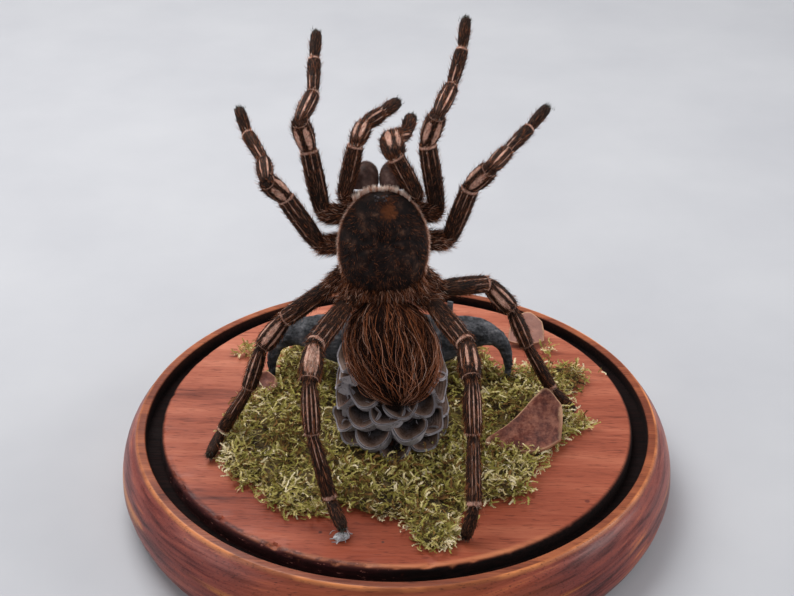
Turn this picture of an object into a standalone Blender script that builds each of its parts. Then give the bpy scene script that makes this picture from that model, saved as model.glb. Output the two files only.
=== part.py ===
"""A dried tarantula mounted on a round turned wooden base, with a moss mat, a cone, a horned nut and husks.

Lengths below are in millimetres and each finished mesh is in metres. +Z is up and the origin is the middle
of the base's underside. The specimen stands on its hind legs with its back towards -Y.
"""

import math

import bmesh
import bpy
from mathutils import Vector

MM = 0.001
GAP = 0.3  # clear space between touching pieces

# Looks, as colour, roughness and metallic
WOOD = ((0.42, 0.16, 0.09), 0.45, 0.0)
MOSS = ((0.30, 0.31, 0.08), 0.9, 0.0)
CONE_SCALES = ((0.12, 0.10, 0.10), 0.75, 0.0)
NUT_SHELL = ((0.09, 0.11, 0.13), 0.7, 0.0)
POD_VALVE = ((0.22, 0.12, 0.10), 0.6, 0.0)
CUTICLE = ((0.05, 0.03, 0.025), 0.6, 0.0)
LIMB_CUTICLE = ((0.07, 0.045, 0.035), 0.6, 0.0)
DRIED_GLUE = ((0.75, 0.74, 0.72), 0.25, 0.0)

# Turned base
BASE_HEIGHT = 22.0
BASE_RADIUS = 79.5  # the bead at its widest
FOOT_RADIUS = 76.0  # the flat underside
BEAD_HEIGHT = 8.0  # where the bead is widest
BEAD_BACK = 9.0  # the bead's ellipse, across
BEAD_RISE = 15.0  # the bead's ellipse, upwards
BEAD_DEGREES = (0, 14, 28, 42, 54, 62)
RIM_OUTER = 74.4
GROOVE_OUTER = 72.0
GROOVE_INNER = 67.7
GROOVE_DEPTH = 4.0
SHOULDER = 1.4  # rounded edge of the raised middle
BASE_STEPS = 60

# Specimen: the front body's middle, and how steeply the whole body stands
BODY_CENTRE = Vector((-3.5, -6.0, 81.5))
BODY_PITCH = math.radians(62.0)
CARAPACE_HALF_WIDTH = 11.9
CARAPACE_HALF_LENGTH = 13.6
STERNUM_HALF_WIDTH = 4.6
STERNUM_HALF_LENGTH = 9.2
# Sections from below, as size and height: the chest plate, then the carapace over it
STERNUM_SECTIONS = ((0.8, -6.0), (1.0, -5.1), (1.0, -1.0))
CARAPACE_SECTIONS = ((0.93, 0.6), (1.0, 1.1), (0.98, 2.0), (0.88, 3.3), (0.68, 4.4), (0.44, 5.1), (0.2, 5.2))
STERNUM_TIP = -6.2
FOVEA = 4.7  # the pit in the middle of the carapace
EYE_HUMP_RADII = (1.9, 1.4, 1.3)
EYE_HUMP_PLACE = Vector((-0.6, 11.2, 3.3))
BODY_STEPS = 20
# Stations of the abdomen from its waist: forward, half width, half height and up
ABDOMEN_STATIONS = ((-9.9, 1.2, 1.2, -3.6), (-14.6, 1.4, 1.4, -3.2), (-16.4, 5.6, 4.4, -2.4),
                    (-20.0, 9.6, 7.2, -1.8), (-26.0, 12.0, 8.6, -1.8), (-32.0, 12.2, 8.4, -2.4),
                    (-37.5, 10.2, 6.9, -3.0), (-41.4, 6.6, 4.6, -3.5), (-43.6, 3.2, 2.3, -3.8))
ABDOMEN_ENDS = (-9.7, -44.3)
ABDOMEN_DRIFT = 2.6  # its tip hangs to one side
ABDOMEN_STEPS = 16
# Each jaw's place across, and its stations from the carapace to the fang's tip: forward, up, half width and
# half height
CHELICERA_SIDES = {"chelicera_left": -4.7, "chelicera_right": 2.1}
CHELICERA_STATIONS = ((13.9, -2.6, 2.7, 2.5), (15.6, -2.6, 3.15, 3.1), (17.4, -3.4, 3.2, 3.2),
                      (18.5, -6.0, 2.8, 2.8), (17.7, -9.0, 1.8, 1.8), (15.5, -10.6, 0.9, 0.9),
                      (13.4, -10.6, 0.5, 0.5))
FANG_TIP = Vector((0.0, -0.8, 0.2))
CHELICERA_STEPS = 12

# Limb thickness, as radii of coxa, thigh, knee, shin, metatarsus and foot
LEG_RADII = (2.0, 2.4, 2.5, 2.0, 1.7, 1.45)
HIND_LEG_SCALE = 1.08
PALP_RADII = {
    "palp_left": (1.7, 2.2, 2.2, 2.0, 1.75),
    "palp_right": (1.7, 2.3, 3.0, 1.95, 1.75),
}
LIMB_SIDES = 8
NECK = 0.82  # a limb's waist at each joint, against the thickness of the segment
SWELL = ((0.36, 1.0), (0.68, 0.97))  # along a segment, and its thickness there
TIP_SWELL = ((0.5, 1.0),)

# Places of the joints of each limb, from the coxa under the carapace out to the claws
LEG_JOINTS = {
    "leg_1_left": ((-10.0, -0.7, 87.0), (-19.6, -1.2, 87.2), (-23.1, 2.5, 104.5), (-25.0, -0.5, 113.5),
                   (-22.0, 11.0, 116.5), (-22.0, 21.0, 122.5), (-21.5, 27.0, 128.0)),
    "leg_1_right": ((3.0, -0.7, 87.0), (11.0, 1.0, 86.8), (8.0, 3.0, 106.0), (10.5, 1.0, 114.5),
                    (14.5, 12.5, 118.0), (17.5, 20.5, 125.5), (18.5, 25.0, 132.5)),
    "leg_2_left": ((-10.0, -2.5, 80.0), (-20.4, -4.5, 79.4), (-29.5, -3.5, 93.5), (-33.5, -8.0, 100.0),
                   (-35.0, 2.5, 101.0), (-40.0, 11.5, 105.0), (-42.5, 17.0, 110.0)),
    "leg_2_right": ((3.0, -2.5, 80.0), (14.0, -2.0, 79.8), (19.4, -3.5, 96.5), (24.0, -7.0, 103.0),
                    (29.0, 3.0, 103.5), (35.5, 11.5, 106.5), (40.5, 15.5, 111.0)),
    "leg_3_left": ((-9.8, -5.0, 75.2), (-18.0, -9.5, 69.5), (-30.5, -8.5, 59.0), (-36.8, -11.0, 51.6),
                   (-40.9, -13.0, 39.2), (-49.0, -14.5, 26.0), (-51.5, -23.5, 24.0)),
    "leg_3_right": ((2.8, -5.0, 75.2), (11.0, -6.5, 67.5), (25.0, 1.5, 64.5), (32.0, 1.5, 56.5),
                    (37.0, 1.0, 44.5), (44.5, 0.5, 30.5), (51.0, -1.5, 24.0)),
    "leg_4_left": ((-8.6, -7.4, 70.2), (-13.5, -14.5, 67.0), (-21.0, -32.0, 65.0), (-22.0, -40.5, 60.0),
                   (-21.5, -43.5, 45.5), (-17.0, -49.0, 29.0), (-13.5, -56.0, 25.0)),
    "leg_4_right": ((1.6, -7.4, 70.2), (9.5, -12.5, 66.5), (18.0, -29.0, 63.5), (19.0, -38.0, 59.0),
                    (19.5, -44.0, 45.5), (19.5, -56.0, 32.0), (17.5, -57.0, 23.0)),
}
# The palps' joints are across, forward and up in the body's own frame
PALP_JOINTS = {
    "palp_left": ((-5.4, 10.9, -4.0), (-10.5, 11.5, 0.4), (-7.2, 25.4, 4.0), (-5.1, 31.0, -1.5),
                  (-0.6, 34.4, -7.0), (3.9, 38.2, -12.0)),
    "palp_right": ((5.4, 10.9, -4.0), (9.2, 11.5, 0.4), (3.1, 22.2, 4.2), (1.9, 27.8, -3.0),
                   (6.0, 29.2, -10.0), (7.6, 34.6, -14.5)),
}

# Things laid on the base
MOSS_LUMP = 0.5
MOSS_HOLLOW = 0.5  # where it is pressed thin
MOSS_MIDDLE = Vector((2.0, -4.0, 0.0))
MOSS_SECTIONS = ((1.0, 0.8), (0.94, 2.2), (0.8, 3.2), (0.55, 3.2))  # share of the outline, and thickness
MOSS_OUTLINE = (
    (-49, -20), (-44, -30), (-36, -34), (-34, -41), (-26, -45), (-14, -42), (-7, -46), (2, -47), (4, -53),
    (8, -60), (13, -59), (14, -50), (21, -41), (30, -39), (36, -31), (41, -20), (50, -8), (48, 6), (54, 15),
    (54, 22), (45, 22), (31, 19), (23, 34), (10, 41), (-5, 44), (-20, 43), (-30, 39), (-35, 29), (-36, 18),
    (-38, 9), (-45, 4), (-47, -7),
)
# The moss is pressed down round these things: across, back and how far round
MOSS_DIPS = ((-2.0, -9.0, 27.0), (36.0, -13.0, 17.0), (-37.0, 11.0, 11.0), (33.0, 14.0, 8.0),
             (51.0, -2.0, 9.0), (-51.0, -22.0, 7.0))

CONE_PLACE = Vector((-2.0, -9.2, 26.6))
CONE_RADIUS = 6.4  # its core, at the bottom
CONE_TAPER = 0.4
CONE_ENDS = (-0.8, 15.3)
CONE_PITCH = 4.9  # how far the spiral of scales climbs in one turn
CONE_COLUMNS = 34  # round the core
CONE_START = math.radians(-190.0)
SCALE_COUNT = 26
SCALE_COLUMNS = 4  # each scale grows from three of them
SCALE_ROOT = 2.2
SCALE_REACH = 16.1
SCALE_DROOP = 3.1  # how far the lowest scales' tips hang
SCALE_LIFT = 1.1  # how much less they hang for each turn up
SCALE_CLOSE = 0.8  # how much more the upper ones close upwards, for the square of the turns
SCALE_FRONT_CUT = 7.0  # how much shorter the front ones are for each turn up, under the specimen
SCALE_CUP = 1.5
# Sections of a scale from its root to its tip: share of the reach, half width, thickness and curl
SCALE_SECTIONS = ((0.6, 3.7, 1.4, -0.3), (0.86, 4.3, 1.1, -0.4), (1.0, 2.5, 0.8, 0.5))
SCALE_LOOP = ((-1.0, False), (-0.4, False), (0.4, False), (1.0, False),
              (1.0, True), (0.4, True), (-0.4, True), (-1.0, True))

NUT_PLACE = Vector((-2.0, 15.0, 24.2))
NUT_LEAN = math.radians(14.0)
# Half of the nut, from a horn's tip to its middle: across, up, half height and half thickness
NUT_HORN = ((35.0, 0.8, 0.8, 0.8), (35.3, 4.6, 1.3, 1.2), (34.7, 8.8, 1.9, 1.8), (32.6, 12.3, 2.7, 2.5),
            (29.0, 14.6, 3.9, 3.6), (24.0, 15.0, 5.2, 5.0), (17.5, 13.4, 7.2, 6.4), (10.0, 11.6, 9.0, 7.6))
NUT_MIDDLE = (0.0, 11.0, 9.6, 8.2)
NUT_STEPS = 10

HUSK_THICKNESS = 0.8
HUSK_COLUMNS = 7
HUSK_ROWS = 3
# Each husk's lower edge, upper edge and sag
HUSKS = {
    "husk_front": (((24.8, -20.6, 25.9), (32.5, -22.4, 25.7), (39.4, -22.4, 25.7), (45.3, -18.6, 26.2)),
                   ((25.4, -18.6, 27.2), (31.0, -14.2, 28.4), (35.2, -9.0, 29.2), (39.4, -3.6, 30.8),
                    (42.8, -1.8, 32.2), (46.6, -8.0, 30.6)), 1.7),
    "husk_back": (((34.8, 37.4, 23.9), (40.1, 35.0, 24.3), (46.0, 37.4, 23.9)),
                  ((36.6, 45.4, 27.4), (42.0, 47.6, 28.4), (45.8, 43.6, 27.2)), 0.8),
    "husk_flake": (((-42.2, 7.4, 25.9), (-38.6, 6.4, 25.7), (-35.6, 8.0, 25.9)),
                   ((-41.8, 10.6, 27.8), (-38.6, 12.6, 28.8), (-35.8, 10.4, 28.0)), 0.9),
}

GLUE_PLACE = Vector((-14.0, -55.6, 22.3))
GLUE_HALF = (2.5, 2.1)
GLUE_SECTIONS = ((1.0, 0.0), (0.86, 0.5), (0.45, 0.9))  # size and height
GLUE_TOP = 1.0
GLUE_STEPS = 10


def clear_scene():
    for item in list(bpy.data.objects):
        bpy.data.objects.remove(item, do_unlink=True)


def empty(name, place, turn):
    made = bpy.data.objects.new(name, None)
    bpy.context.collection.objects.link(made)
    made.location = place * MM
    made.rotation_euler = turn
    return made


def material(name, colour, roughness, metallic):
    made = bpy.data.materials.new(name)
    made.use_nodes = True
    shader = made.node_tree.nodes["Principled BSDF"]
    shader.inputs["Base Color"].default_value = (*colour, 1.0)
    shader.inputs["Roughness"].default_value = roughness
    shader.inputs["Metallic"].default_value = metallic
    return made


def finish(name, bm, look, place, parent=None, turn=(0.0, 0.0, 0.0)):
    """Turn a mesh drawn in millimetres about its own place into a smooth object in metres, at that place."""
    bmesh.ops.remove_doubles(bm, verts=bm.verts, dist=1e-4)
    bmesh.ops.recalc_face_normals(bm, faces=bm.faces)
    if bm.calc_volume(signed=True) < 0.0:
        bmesh.ops.reverse_faces(bm, faces=bm.faces)
    bmesh.ops.scale(bm, vec=(MM, MM, MM), verts=bm.verts)
    mesh = bpy.data.meshes.new(name)
    bm.to_mesh(mesh)
    bm.free()
    mesh.materials.append(material(name, *look))
    mesh.shade_smooth()
    mesh.set_sharp_from_angle(angle=math.radians(40.0))
    made = bpy.data.objects.new(name, mesh)
    bpy.context.collection.objects.link(made)
    made.parent = parent
    made.location = place * MM
    made.rotation_euler = turn
    return made


def turned(bm, profile, steps):
    """Spin a profile of (radius, height) points about the Z axis."""
    verts = [bm.verts.new((radius, 0.0, height)) for radius, height in profile]
    edges = [bm.edges.new(pair) for pair in zip(verts, verts[1:])]
    bmesh.ops.spin(bm, geom=verts + edges, cent=(0, 0, 0), axis=(0, 0, 1), steps=steps,
                   angle=math.tau, use_merge=True)
    bmesh.ops.remove_doubles(bm, verts=bm.verts, dist=1e-4)


def skin(bm, rings, first, last):
    """Join rings of points into one closed skin, with a point at each end."""
    loops = [[bm.verts.new(point) for point in ring] for ring in rings]
    for near, far in zip(loops, loops[1:]):
        for index in range(len(near)):
            after = (index + 1) % len(near)
            bm.faces.new((near[index], near[after], far[after], far[index]))
    for loop, tip in ((loops[0], first), (loops[-1], last)):
        end = bm.verts.new(tip)
        for index in range(len(loop)):
            bm.faces.new((loop[index], loop[(index + 1) % len(loop)], end))


def oval(centre, across, up, half_width, half_height, count):
    """Points of an ellipse in the plane of two directions."""
    turns = [math.tau * index / count for index in range(count)]
    return [centre + across * (half_width * math.cos(a)) + up * (half_height * math.sin(a)) for a in turns]


def swept(bm, stations, first, last, count):
    """Skin round stations of (centre, direction, half width, half height), kept from twisting."""
    across = stations[0][1].orthogonal().normalized()
    rings = []
    for centre, ahead, half_width, half_height in stations:
        across = (across - ahead * across.dot(ahead)).normalized()
        rings.append(oval(centre, across, ahead.cross(across), half_width, half_height, count))
    skin(bm, rings, first, last)


def build_base():
    """One turned disc: the flat underside, the bead, the rim, the groove and the raised middle."""
    profile = [(0.0, 0.0), (FOOT_RADIUS, 0.0), (FOOT_RADIUS + 1.5, 1.4),
               (BASE_RADIUS - 0.8, BEAD_HEIGHT - 1.4)]
    for a in map(math.radians, BEAD_DEGREES):
        radius = BASE_RADIUS - BEAD_BACK * (1.0 - math.cos(a))
        profile.append((radius, BEAD_HEIGHT + BEAD_RISE * math.sin(a)))
    profile += [
        (RIM_OUTER, BASE_HEIGHT),
        (GROOVE_OUTER, BASE_HEIGHT),
        (GROOVE_OUTER, BASE_HEIGHT - GROOVE_DEPTH),
        (GROOVE_INNER, BASE_HEIGHT - GROOVE_DEPTH),
        (GROOVE_INNER, BASE_HEIGHT - SHOULDER),
        (GROOVE_INNER - SHOULDER, BASE_HEIGHT),
        (0.0, BASE_HEIGHT),
    ]
    bm = bmesh.new()
    turned(bm, profile, BASE_STEPS)
    finish("base", bm, WOOD, Vector())


def moss_height(point, full):
    """The mat's thickness at a place: full, or thin where something is pressed into it."""
    for x, y, reach in MOSS_DIPS:
        if (point - Vector((x, y, 0.0))).length < reach:
            return min(full, MOSS_HOLLOW)
    return full


def build_moss():
    """A low lumpy mat, thinner at its ragged edge."""
    rings = [[Vector((x, y, 0.0)) for x, y in MOSS_OUTLINE]]
    for shrink, full in MOSS_SECTIONS:
        ring = []
        for index, (x, y) in enumerate(MOSS_OUTLINE):
            point = MOSS_MIDDLE + (Vector((x, y, 0.0)) - MOSS_MIDDLE) * shrink
            lump = MOSS_LUMP * math.sin(2.6 * index + 9.0 * shrink) if shrink < 1.0 else 0.0
            point.z = moss_height(point, full + lump)
            ring.append(point)
        rings.append(ring)
    bm = bmesh.new()
    skin(bm, rings, MOSS_MIDDLE, MOSS_MIDDLE + Vector((0, 0, MOSS_HOLLOW)))
    finish("moss_mat", bm, MOSS, Vector((0, 0, BASE_HEIGHT + GAP)))


def limb(name, joints, radii, parent=None):
    """One limb as a single skin: each segment swells in its middle and narrows at its joints."""
    root = Vector(joints[0])
    joints = [Vector(joint) - root for joint in joints]
    ways = [(far - near).normalized() for near, far in zip(joints, joints[1:])]
    last = len(ways) - 1
    stations = []
    for index, (start, end, ahead, radius) in enumerate(zip(joints, joints[1:], ways, radii)):
        length = (end - start).length
        before = ways[index - 1] if index else ahead
        after = ways[index + 1] if index < last else ahead
        ends = []
        for corner, inward, other in ((start, ahead, before), (end, -ahead, after)):
            inset = min(radius * (0.3 + 0.62 * math.tan(ahead.angle(other) / 2)), 0.32 * length)
            facing = (ahead * 0.72 + other * 0.28).normalized()
            ends.append((corner + inward * inset, facing, radius * NECK, radius * NECK))
        swell = SWELL if 0 < index < last else TIP_SWELL if index == last else ()
        middle = [(start + ahead * length * share, ahead, radius * size, radius * size)
                  for share, size in swell]
        stations += ends[:1] + middle + ends[1:]
    bm = bmesh.new()
    swept(bm, stations, ways[0] * -0.3, joints[-1], LIMB_SIDES)
    finish(name, bm, LIMB_CUTICLE, root, parent)


def carapace_outline(angle):
    """The carapace's edge: an oval, narrower towards its front and squarer at its rear."""
    fullness = 0.86 if math.sin(angle) > 0.0 else 0.5
    across = math.copysign(abs(math.cos(angle)) ** fullness, math.cos(angle))
    along = math.copysign(abs(math.sin(angle)) ** 0.92, math.sin(angle))
    across *= 1.0 - 0.24 * max(along, 0.0) ** 1.4
    return Vector((CARAPACE_HALF_WIDTH * across, CARAPACE_HALF_LENGTH * along, 0.0))


def build_prosoma(specimen):
    """The chest plate and the carapace over it as one skin, with the hump that carries the eyes."""
    turns = [math.tau * index / BODY_STEPS for index in range(BODY_STEPS)]
    rings = []
    for size, height in STERNUM_SECTIONS:
        rings.append(oval(Vector((0, 0, height)), Vector((1, 0, 0)), Vector((0, 1, 0)),
                          STERNUM_HALF_WIDTH * size, STERNUM_HALF_LENGTH * size, BODY_STEPS))
    for size, height in CARAPACE_SECTIONS:
        rings.append([carapace_outline(a) * size + Vector((0, 0, height)) for a in turns])
    bm = bmesh.new()
    skin(bm, rings, Vector((0, 0, STERNUM_TIP)), Vector((0, 0, FOVEA)))
    body = finish("prosoma", bm, CUTICLE, Vector(), specimen)
    bm = bmesh.new()
    bmesh.ops.create_uvsphere(bm, u_segments=8, v_segments=6, radius=1.0)
    bmesh.ops.scale(bm, vec=EYE_HUMP_RADII, verts=bm.verts)
    hump = finish("eye_hump", bm, CUTICLE, EYE_HUMP_PLACE, body)
    hump.hide_render = True
    hump.display_type = "WIRE"
    join = body.modifiers.new("eye hump", "BOOLEAN")
    join.operation = "UNION"
    join.object = hump


def build_abdomen(specimen):
    """A bag of a body, hung from a narrow waist."""
    waist = Vector((0.0, ABDOMEN_ENDS[0], ABDOMEN_STATIONS[0][3]))
    tip = Vector((ABDOMEN_DRIFT, ABDOMEN_ENDS[1], ABDOMEN_STATIONS[-1][3])) - waist
    rings = []
    for forward, half_width, half_height, up in ABDOMEN_STATIONS:
        behind = forward - waist.y
        middle = Vector((tip.x * behind / tip.y, behind, up - waist.z))
        rings.append(oval(middle, Vector((1, 0, 0)), Vector((0, 0, 1)), half_width, half_height,
                          ABDOMEN_STEPS))
    bm = bmesh.new()
    skin(bm, rings, Vector(), tip)
    finish("abdomen", bm, CUTICLE, waist, specimen)


def build_chelicera(name, side, specimen):
    """A domed jaw base that reaches forward and turns down, with its fang folded back under it."""
    root = Vector((side, CHELICERA_STATIONS[0][0], CHELICERA_STATIONS[0][1]))
    points = [Vector((side, forward, up)) - root for forward, up, _, _ in CHELICERA_STATIONS]
    stations = []
    for index, (_, _, half_width, half_height) in enumerate(CHELICERA_STATIONS):
        ahead = (points[min(index + 1, len(points) - 1)] - points[max(index - 1, 0)]).normalized()
        stations.append((points[index], ahead, half_width, half_height))
    bm = bmesh.new()
    swept(bm, stations, Vector((0, -0.1, 0)), points[-1] + FANG_TIP, CHELICERA_STEPS)
    finish(name, bm, CUTICLE, root, specimen)


def cone_scale(bm, opening, angle, height, reach, lift):
    """Draw one round cupped scale out of its opening in the core."""
    outward = Vector((math.cos(angle), math.sin(angle), 0.0))
    across = Vector((-outward.y, outward.x, 0.0))
    near = opening
    for share, half_width, thick, curl in SCALE_SECTIONS:
        far = []
        for column, upper in SCALE_LOOP:
            out = reach * (share - 0.1 * column * column * share)
            rise = lift * share ** 1.5 + SCALE_CUP * share * column * column + curl
            rise -= 0.0 if upper else thick
            spot = outward * out + across * (half_width * column) + Vector((0, 0, height + rise))
            far.append(bm.verts.new(spot))
        for index in range(len(near)):
            after = (index + 1) % len(near)
            bm.faces.new((near[index], near[after], far[after], far[index]))
        near = far
    for index in range(3):
        bm.faces.new((near[index], near[index + 1], near[6 - index], near[7 - index]))


def build_cone():
    """A core wound as one spiral band, with an opening for each scale, and the scales drawn out of them."""
    total = SCALE_COUNT * SCALE_COLUMNS
    bm = bmesh.new()
    lower, upper = [], []
    for index in range(total + 1):
        angle = CONE_START + math.tau * index / CONE_COLUMNS
        radius = CONE_RADIUS * (1.0 - CONE_TAPER * index / total)
        height = CONE_PITCH * index / CONE_COLUMNS
        for row, level in ((lower, -0.5), (upper, 0.5)):
            row.append(bm.verts.new((radius * math.cos(angle), radius * math.sin(angle),
                                     height + level * SCALE_ROOT)))
    for index in range(total):
        if index % SCALE_COLUMNS == SCALE_COLUMNS - 1:
            bm.faces.new((lower[index], lower[index + 1], upper[index + 1], upper[index]))
        over = index + CONE_COLUMNS
        if over < total:
            bm.faces.new((upper[index], upper[index + 1], lower[over + 1], lower[over]))
    for first in range(0, total, SCALE_COLUMNS):
        opening = lower[first:first + SCALE_COLUMNS] + upper[first:first + SCALE_COLUMNS][::-1]
        turn = (first + 1.5) / CONE_COLUMNS
        angle = CONE_START + math.tau * turn
        front = max(0.0, -math.sin(angle)) ** 1.2
        reach = SCALE_REACH - front * max(0.0, turn - 1.0) * SCALE_FRONT_CUT
        lift = (SCALE_LIFT + SCALE_CLOSE * turn * (1.0 - front)) * turn - SCALE_DROOP
        cone_scale(bm, opening, angle, CONE_PITCH * turn, reach, lift)
    bottom = lower[:CONE_COLUMNS + 1] + [upper[0]]
    top = upper[total - CONE_COLUMNS:] + [lower[total]]
    for loop, height in zip((bottom, top), CONE_ENDS):
        tip = bm.verts.new((0, 0, height))
        for index in range(len(loop)):
            bm.faces.new((loop[index], loop[(index + 1) % len(loop)], tip))
    finish("cone", bm, CONE_SCALES, CONE_PLACE)


def build_nut():
    """Two down-curved horns on a thick middle, as a skin of ovals from tip to tip."""
    points = [(-x, z, tall, thick) for x, z, tall, thick in NUT_HORN] + [NUT_MIDDLE] + list(NUT_HORN[::-1])
    centres = [Vector((x, 0.0, z)) for x, z, _, _ in points]
    rings = []
    for index, (_, _, tall, thick) in enumerate(points):
        ahead = (centres[min(index + 1, len(points) - 1)] - centres[max(index - 1, 0)]).normalized()
        up = Vector((0, -1, 0)).cross(ahead).normalized()
        rings.append(oval(centres[index], Vector((0, 1, 0)), up, thick, tall, NUT_STEPS))
    left, right = Vector((0.4, 0.0, -1.0)), Vector((-0.4, 0.0, -1.0))
    bm = bmesh.new()
    skin(bm, rings, centres[0] + left, centres[-1] + right)
    finish("horned_nut", bm, NUT_SHELL, NUT_PLACE, turn=(-NUT_LEAN, 0.0, 0.0))


def husk(name, lower, upper, sag):
    """A thin dished valve between its lower and its upper edge, placed by its first corner."""
    root = Vector(lower[0])
    lower, upper = ([Vector(point) - root for point in edge] for edge in (lower, upper))

    def along(edge, share):
        spot = share * (len(edge) - 1)
        index = min(int(spot), len(edge) - 2)
        return edge[index].lerp(edge[index + 1], spot - index)

    facing = lower[-1].cross(upper[len(upper) // 2]).normalized()
    bm = bmesh.new()
    sheets = []
    for drop in (0.0, HUSK_THICKNESS):
        sheet = []
        for row in range(HUSK_ROWS + 1):
            line = []
            for column in range(HUSK_COLUMNS + 1):
                across, up = column / HUSK_COLUMNS, row / HUSK_ROWS
                dish = sag * math.sin(math.pi * across) * math.sin(math.pi * min(up + 0.12, 1.0))
                point = along(lower, across).lerp(along(upper, across), up) - facing * (dish + drop)
                line.append(bm.verts.new(point))
            sheet.append(line)
        sheets.append(sheet)
    top, under = sheets
    for row in range(HUSK_ROWS):
        for column in range(HUSK_COLUMNS):
            corners = ((row, column), (row, column + 1), (row + 1, column + 1), (row + 1, column))
            bm.faces.new([top[r][c] for r, c in corners])
            bm.faces.new([under[r][c] for r, c in reversed(corners)])
    edge = [(0, c) for c in range(HUSK_COLUMNS)] + [(r, HUSK_COLUMNS) for r in range(HUSK_ROWS)]
    edge += [(HUSK_ROWS, c) for c in range(HUSK_COLUMNS, 0, -1)] + [(r, 0) for r in range(HUSK_ROWS, 0, -1)]
    for (r1, c1), (r2, c2) in zip(edge, edge[1:] + edge[:1]):
        bm.faces.new((top[r1][c1], under[r1][c1], under[r2][c2], top[r2][c2]))
    finish(name, bm, POD_VALVE, root)


def build_glue():
    """A flat dried drop with one side pulled out."""
    turns = [math.tau * step / GLUE_STEPS for step in range(GLUE_STEPS)]
    rings = []
    for size, height in GLUE_SECTIONS:
        rings.append([Vector((GLUE_HALF[0] * size * math.cos(a) * (1.0 + 0.16 * math.sin(2.0 * a)),
                              GLUE_HALF[1] * size * math.sin(a), height)) for a in turns])
    bm = bmesh.new()
    skin(bm, rings, Vector(), Vector((0, 0, GLUE_TOP)))
    finish("glue_drop", bm, DRIED_GLUE, GLUE_PLACE)


clear_scene()
build_base()
build_moss()
build_cone()
build_nut()
for name, (lower, upper, sag) in HUSKS.items():
    husk(name, lower, upper, sag)
build_glue()

specimen = empty("specimen", BODY_CENTRE, (BODY_PITCH, 0.0, 0.0))
build_prosoma(specimen)
build_abdomen(specimen)
for name, side in CHELICERA_SIDES.items():
    build_chelicera(name, side, specimen)
for name, joints in PALP_JOINTS.items():
    limb(name, joints, PALP_RADII[name], specimen)
for name, joints in LEG_JOINTS.items():
    thickness = HIND_LEG_SCALE if name.startswith("leg_4") else 1.0
    limb(name, joints, [radius * thickness for radius in LEG_RADII])
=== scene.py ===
import math

import bmesh
import bpy
import numpy as np
from mathutils import Matrix, Vector, noise


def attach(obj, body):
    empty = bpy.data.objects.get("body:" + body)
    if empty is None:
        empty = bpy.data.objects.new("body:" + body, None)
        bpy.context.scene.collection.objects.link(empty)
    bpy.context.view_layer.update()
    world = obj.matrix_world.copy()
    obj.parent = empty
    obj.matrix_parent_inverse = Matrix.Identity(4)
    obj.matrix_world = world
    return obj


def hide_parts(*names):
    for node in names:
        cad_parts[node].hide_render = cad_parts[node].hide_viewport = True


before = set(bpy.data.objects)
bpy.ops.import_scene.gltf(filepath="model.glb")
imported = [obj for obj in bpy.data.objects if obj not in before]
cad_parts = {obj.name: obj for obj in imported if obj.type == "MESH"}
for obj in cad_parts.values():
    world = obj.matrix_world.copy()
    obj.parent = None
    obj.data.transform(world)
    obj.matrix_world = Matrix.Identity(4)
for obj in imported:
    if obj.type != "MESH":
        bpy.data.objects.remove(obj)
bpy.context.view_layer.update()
MM = 0.001


# ---- Floor, light and camera ----
# A pale table top under a white room's soft light, with a brighter window to the right and one overhead.
# The camera looks down at the specimen's back from the front edge of the table.
TABLE_SIZE = 8.0
TABLE_TOP = -0.0002
CAMERA_PLACE = (0.0001, -0.3353, 0.2532)
CAMERA_TILT = 60.15
CAMERA_LENS = 63.48


def node(tree, kind, inputs=None, **settings):
    """Add a shader node, set its options, and fill or link its inputs."""
    made = tree.nodes.new("ShaderNode" + kind)
    for key, value in settings.items():
        setattr(made, key, value)
    for key, value in (inputs or {}).items():
        if isinstance(value, bpy.types.NodeSocket):
            tree.links.new(value, made.inputs[key])
        else:
            made.inputs[key].default_value = value
    return made


def tone(red, green, blue):
    """A colour as seen on a screen, 0 to 255, made linear."""
    linear = [c / 255 / 12.92 if c <= 10 else ((c / 255 + 0.055) / 1.055) ** 2.4 for c in (red, green, blue)]
    return (*linear, 1.0)


def look(name, roughness):
    """A new material with its tree, its shader and the piece's own coordinates."""
    made = bpy.data.materials.new(name)
    made.use_nodes = True
    shader = made.node_tree.nodes["Principled BSDF"]
    shader.inputs["Roughness"].default_value = roughness
    place = node(made.node_tree, "TexCoord").outputs["Object"]
    return made, made.node_tree, shader, place


def stretched(tree, place, scale, detail=4.0, roughness=0.55, distortion=0.0):
    """Noise with its own number of grains to the metre along each axis."""
    spread = node(tree, "Mapping", {"Vector": place, "Scale": scale})
    return node(tree, "TexNoise", {"Vector": spread.outputs[0], "Scale": 1.0, "Detail": detail,
                                   "Roughness": roughness, "Distortion": distortion}).outputs["Fac"]


def graded(tree, value, stops):
    """A colour for each value, from stops of (value, colour)."""
    made = node(tree, "ValToRGB", {"Fac": value})
    elements = made.color_ramp.elements
    while len(elements) < len(stops):
        elements.new(0.5)
    for element, (position, colour) in zip(elements, stops):
        element.position = position
        element.color = colour
    return made.outputs["Color"]


bpy.ops.object.select_all(action="DESELECT")
bpy.ops.mesh.primitive_plane_add(size=TABLE_SIZE, location=(0.0, 0.0, TABLE_TOP))
floor = bpy.context.object
floor.name = "pale_table"
table_white, tree, shader, place = look("table_white", 0.7)
mottle = stretched(tree, place, (14, 14, 14))
tree.links.new(graded(tree, mottle, ((0.3, tone(170, 170, 174)), (0.7, tone(178, 178, 181)))),
               shader.inputs["Base Color"])
floor.data.materials.append(table_white)

room = bpy.data.worlds.new("white_room")
room.use_nodes = True
room.node_tree.nodes["Background"].inputs["Color"].default_value = (0.93, 0.96, 1.0, 1.0)
room.node_tree.nodes["Background"].inputs["Strength"].default_value = 0.5
bpy.context.scene.world = room
bpy.context.scene.view_settings.view_transform = "Standard"

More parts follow.
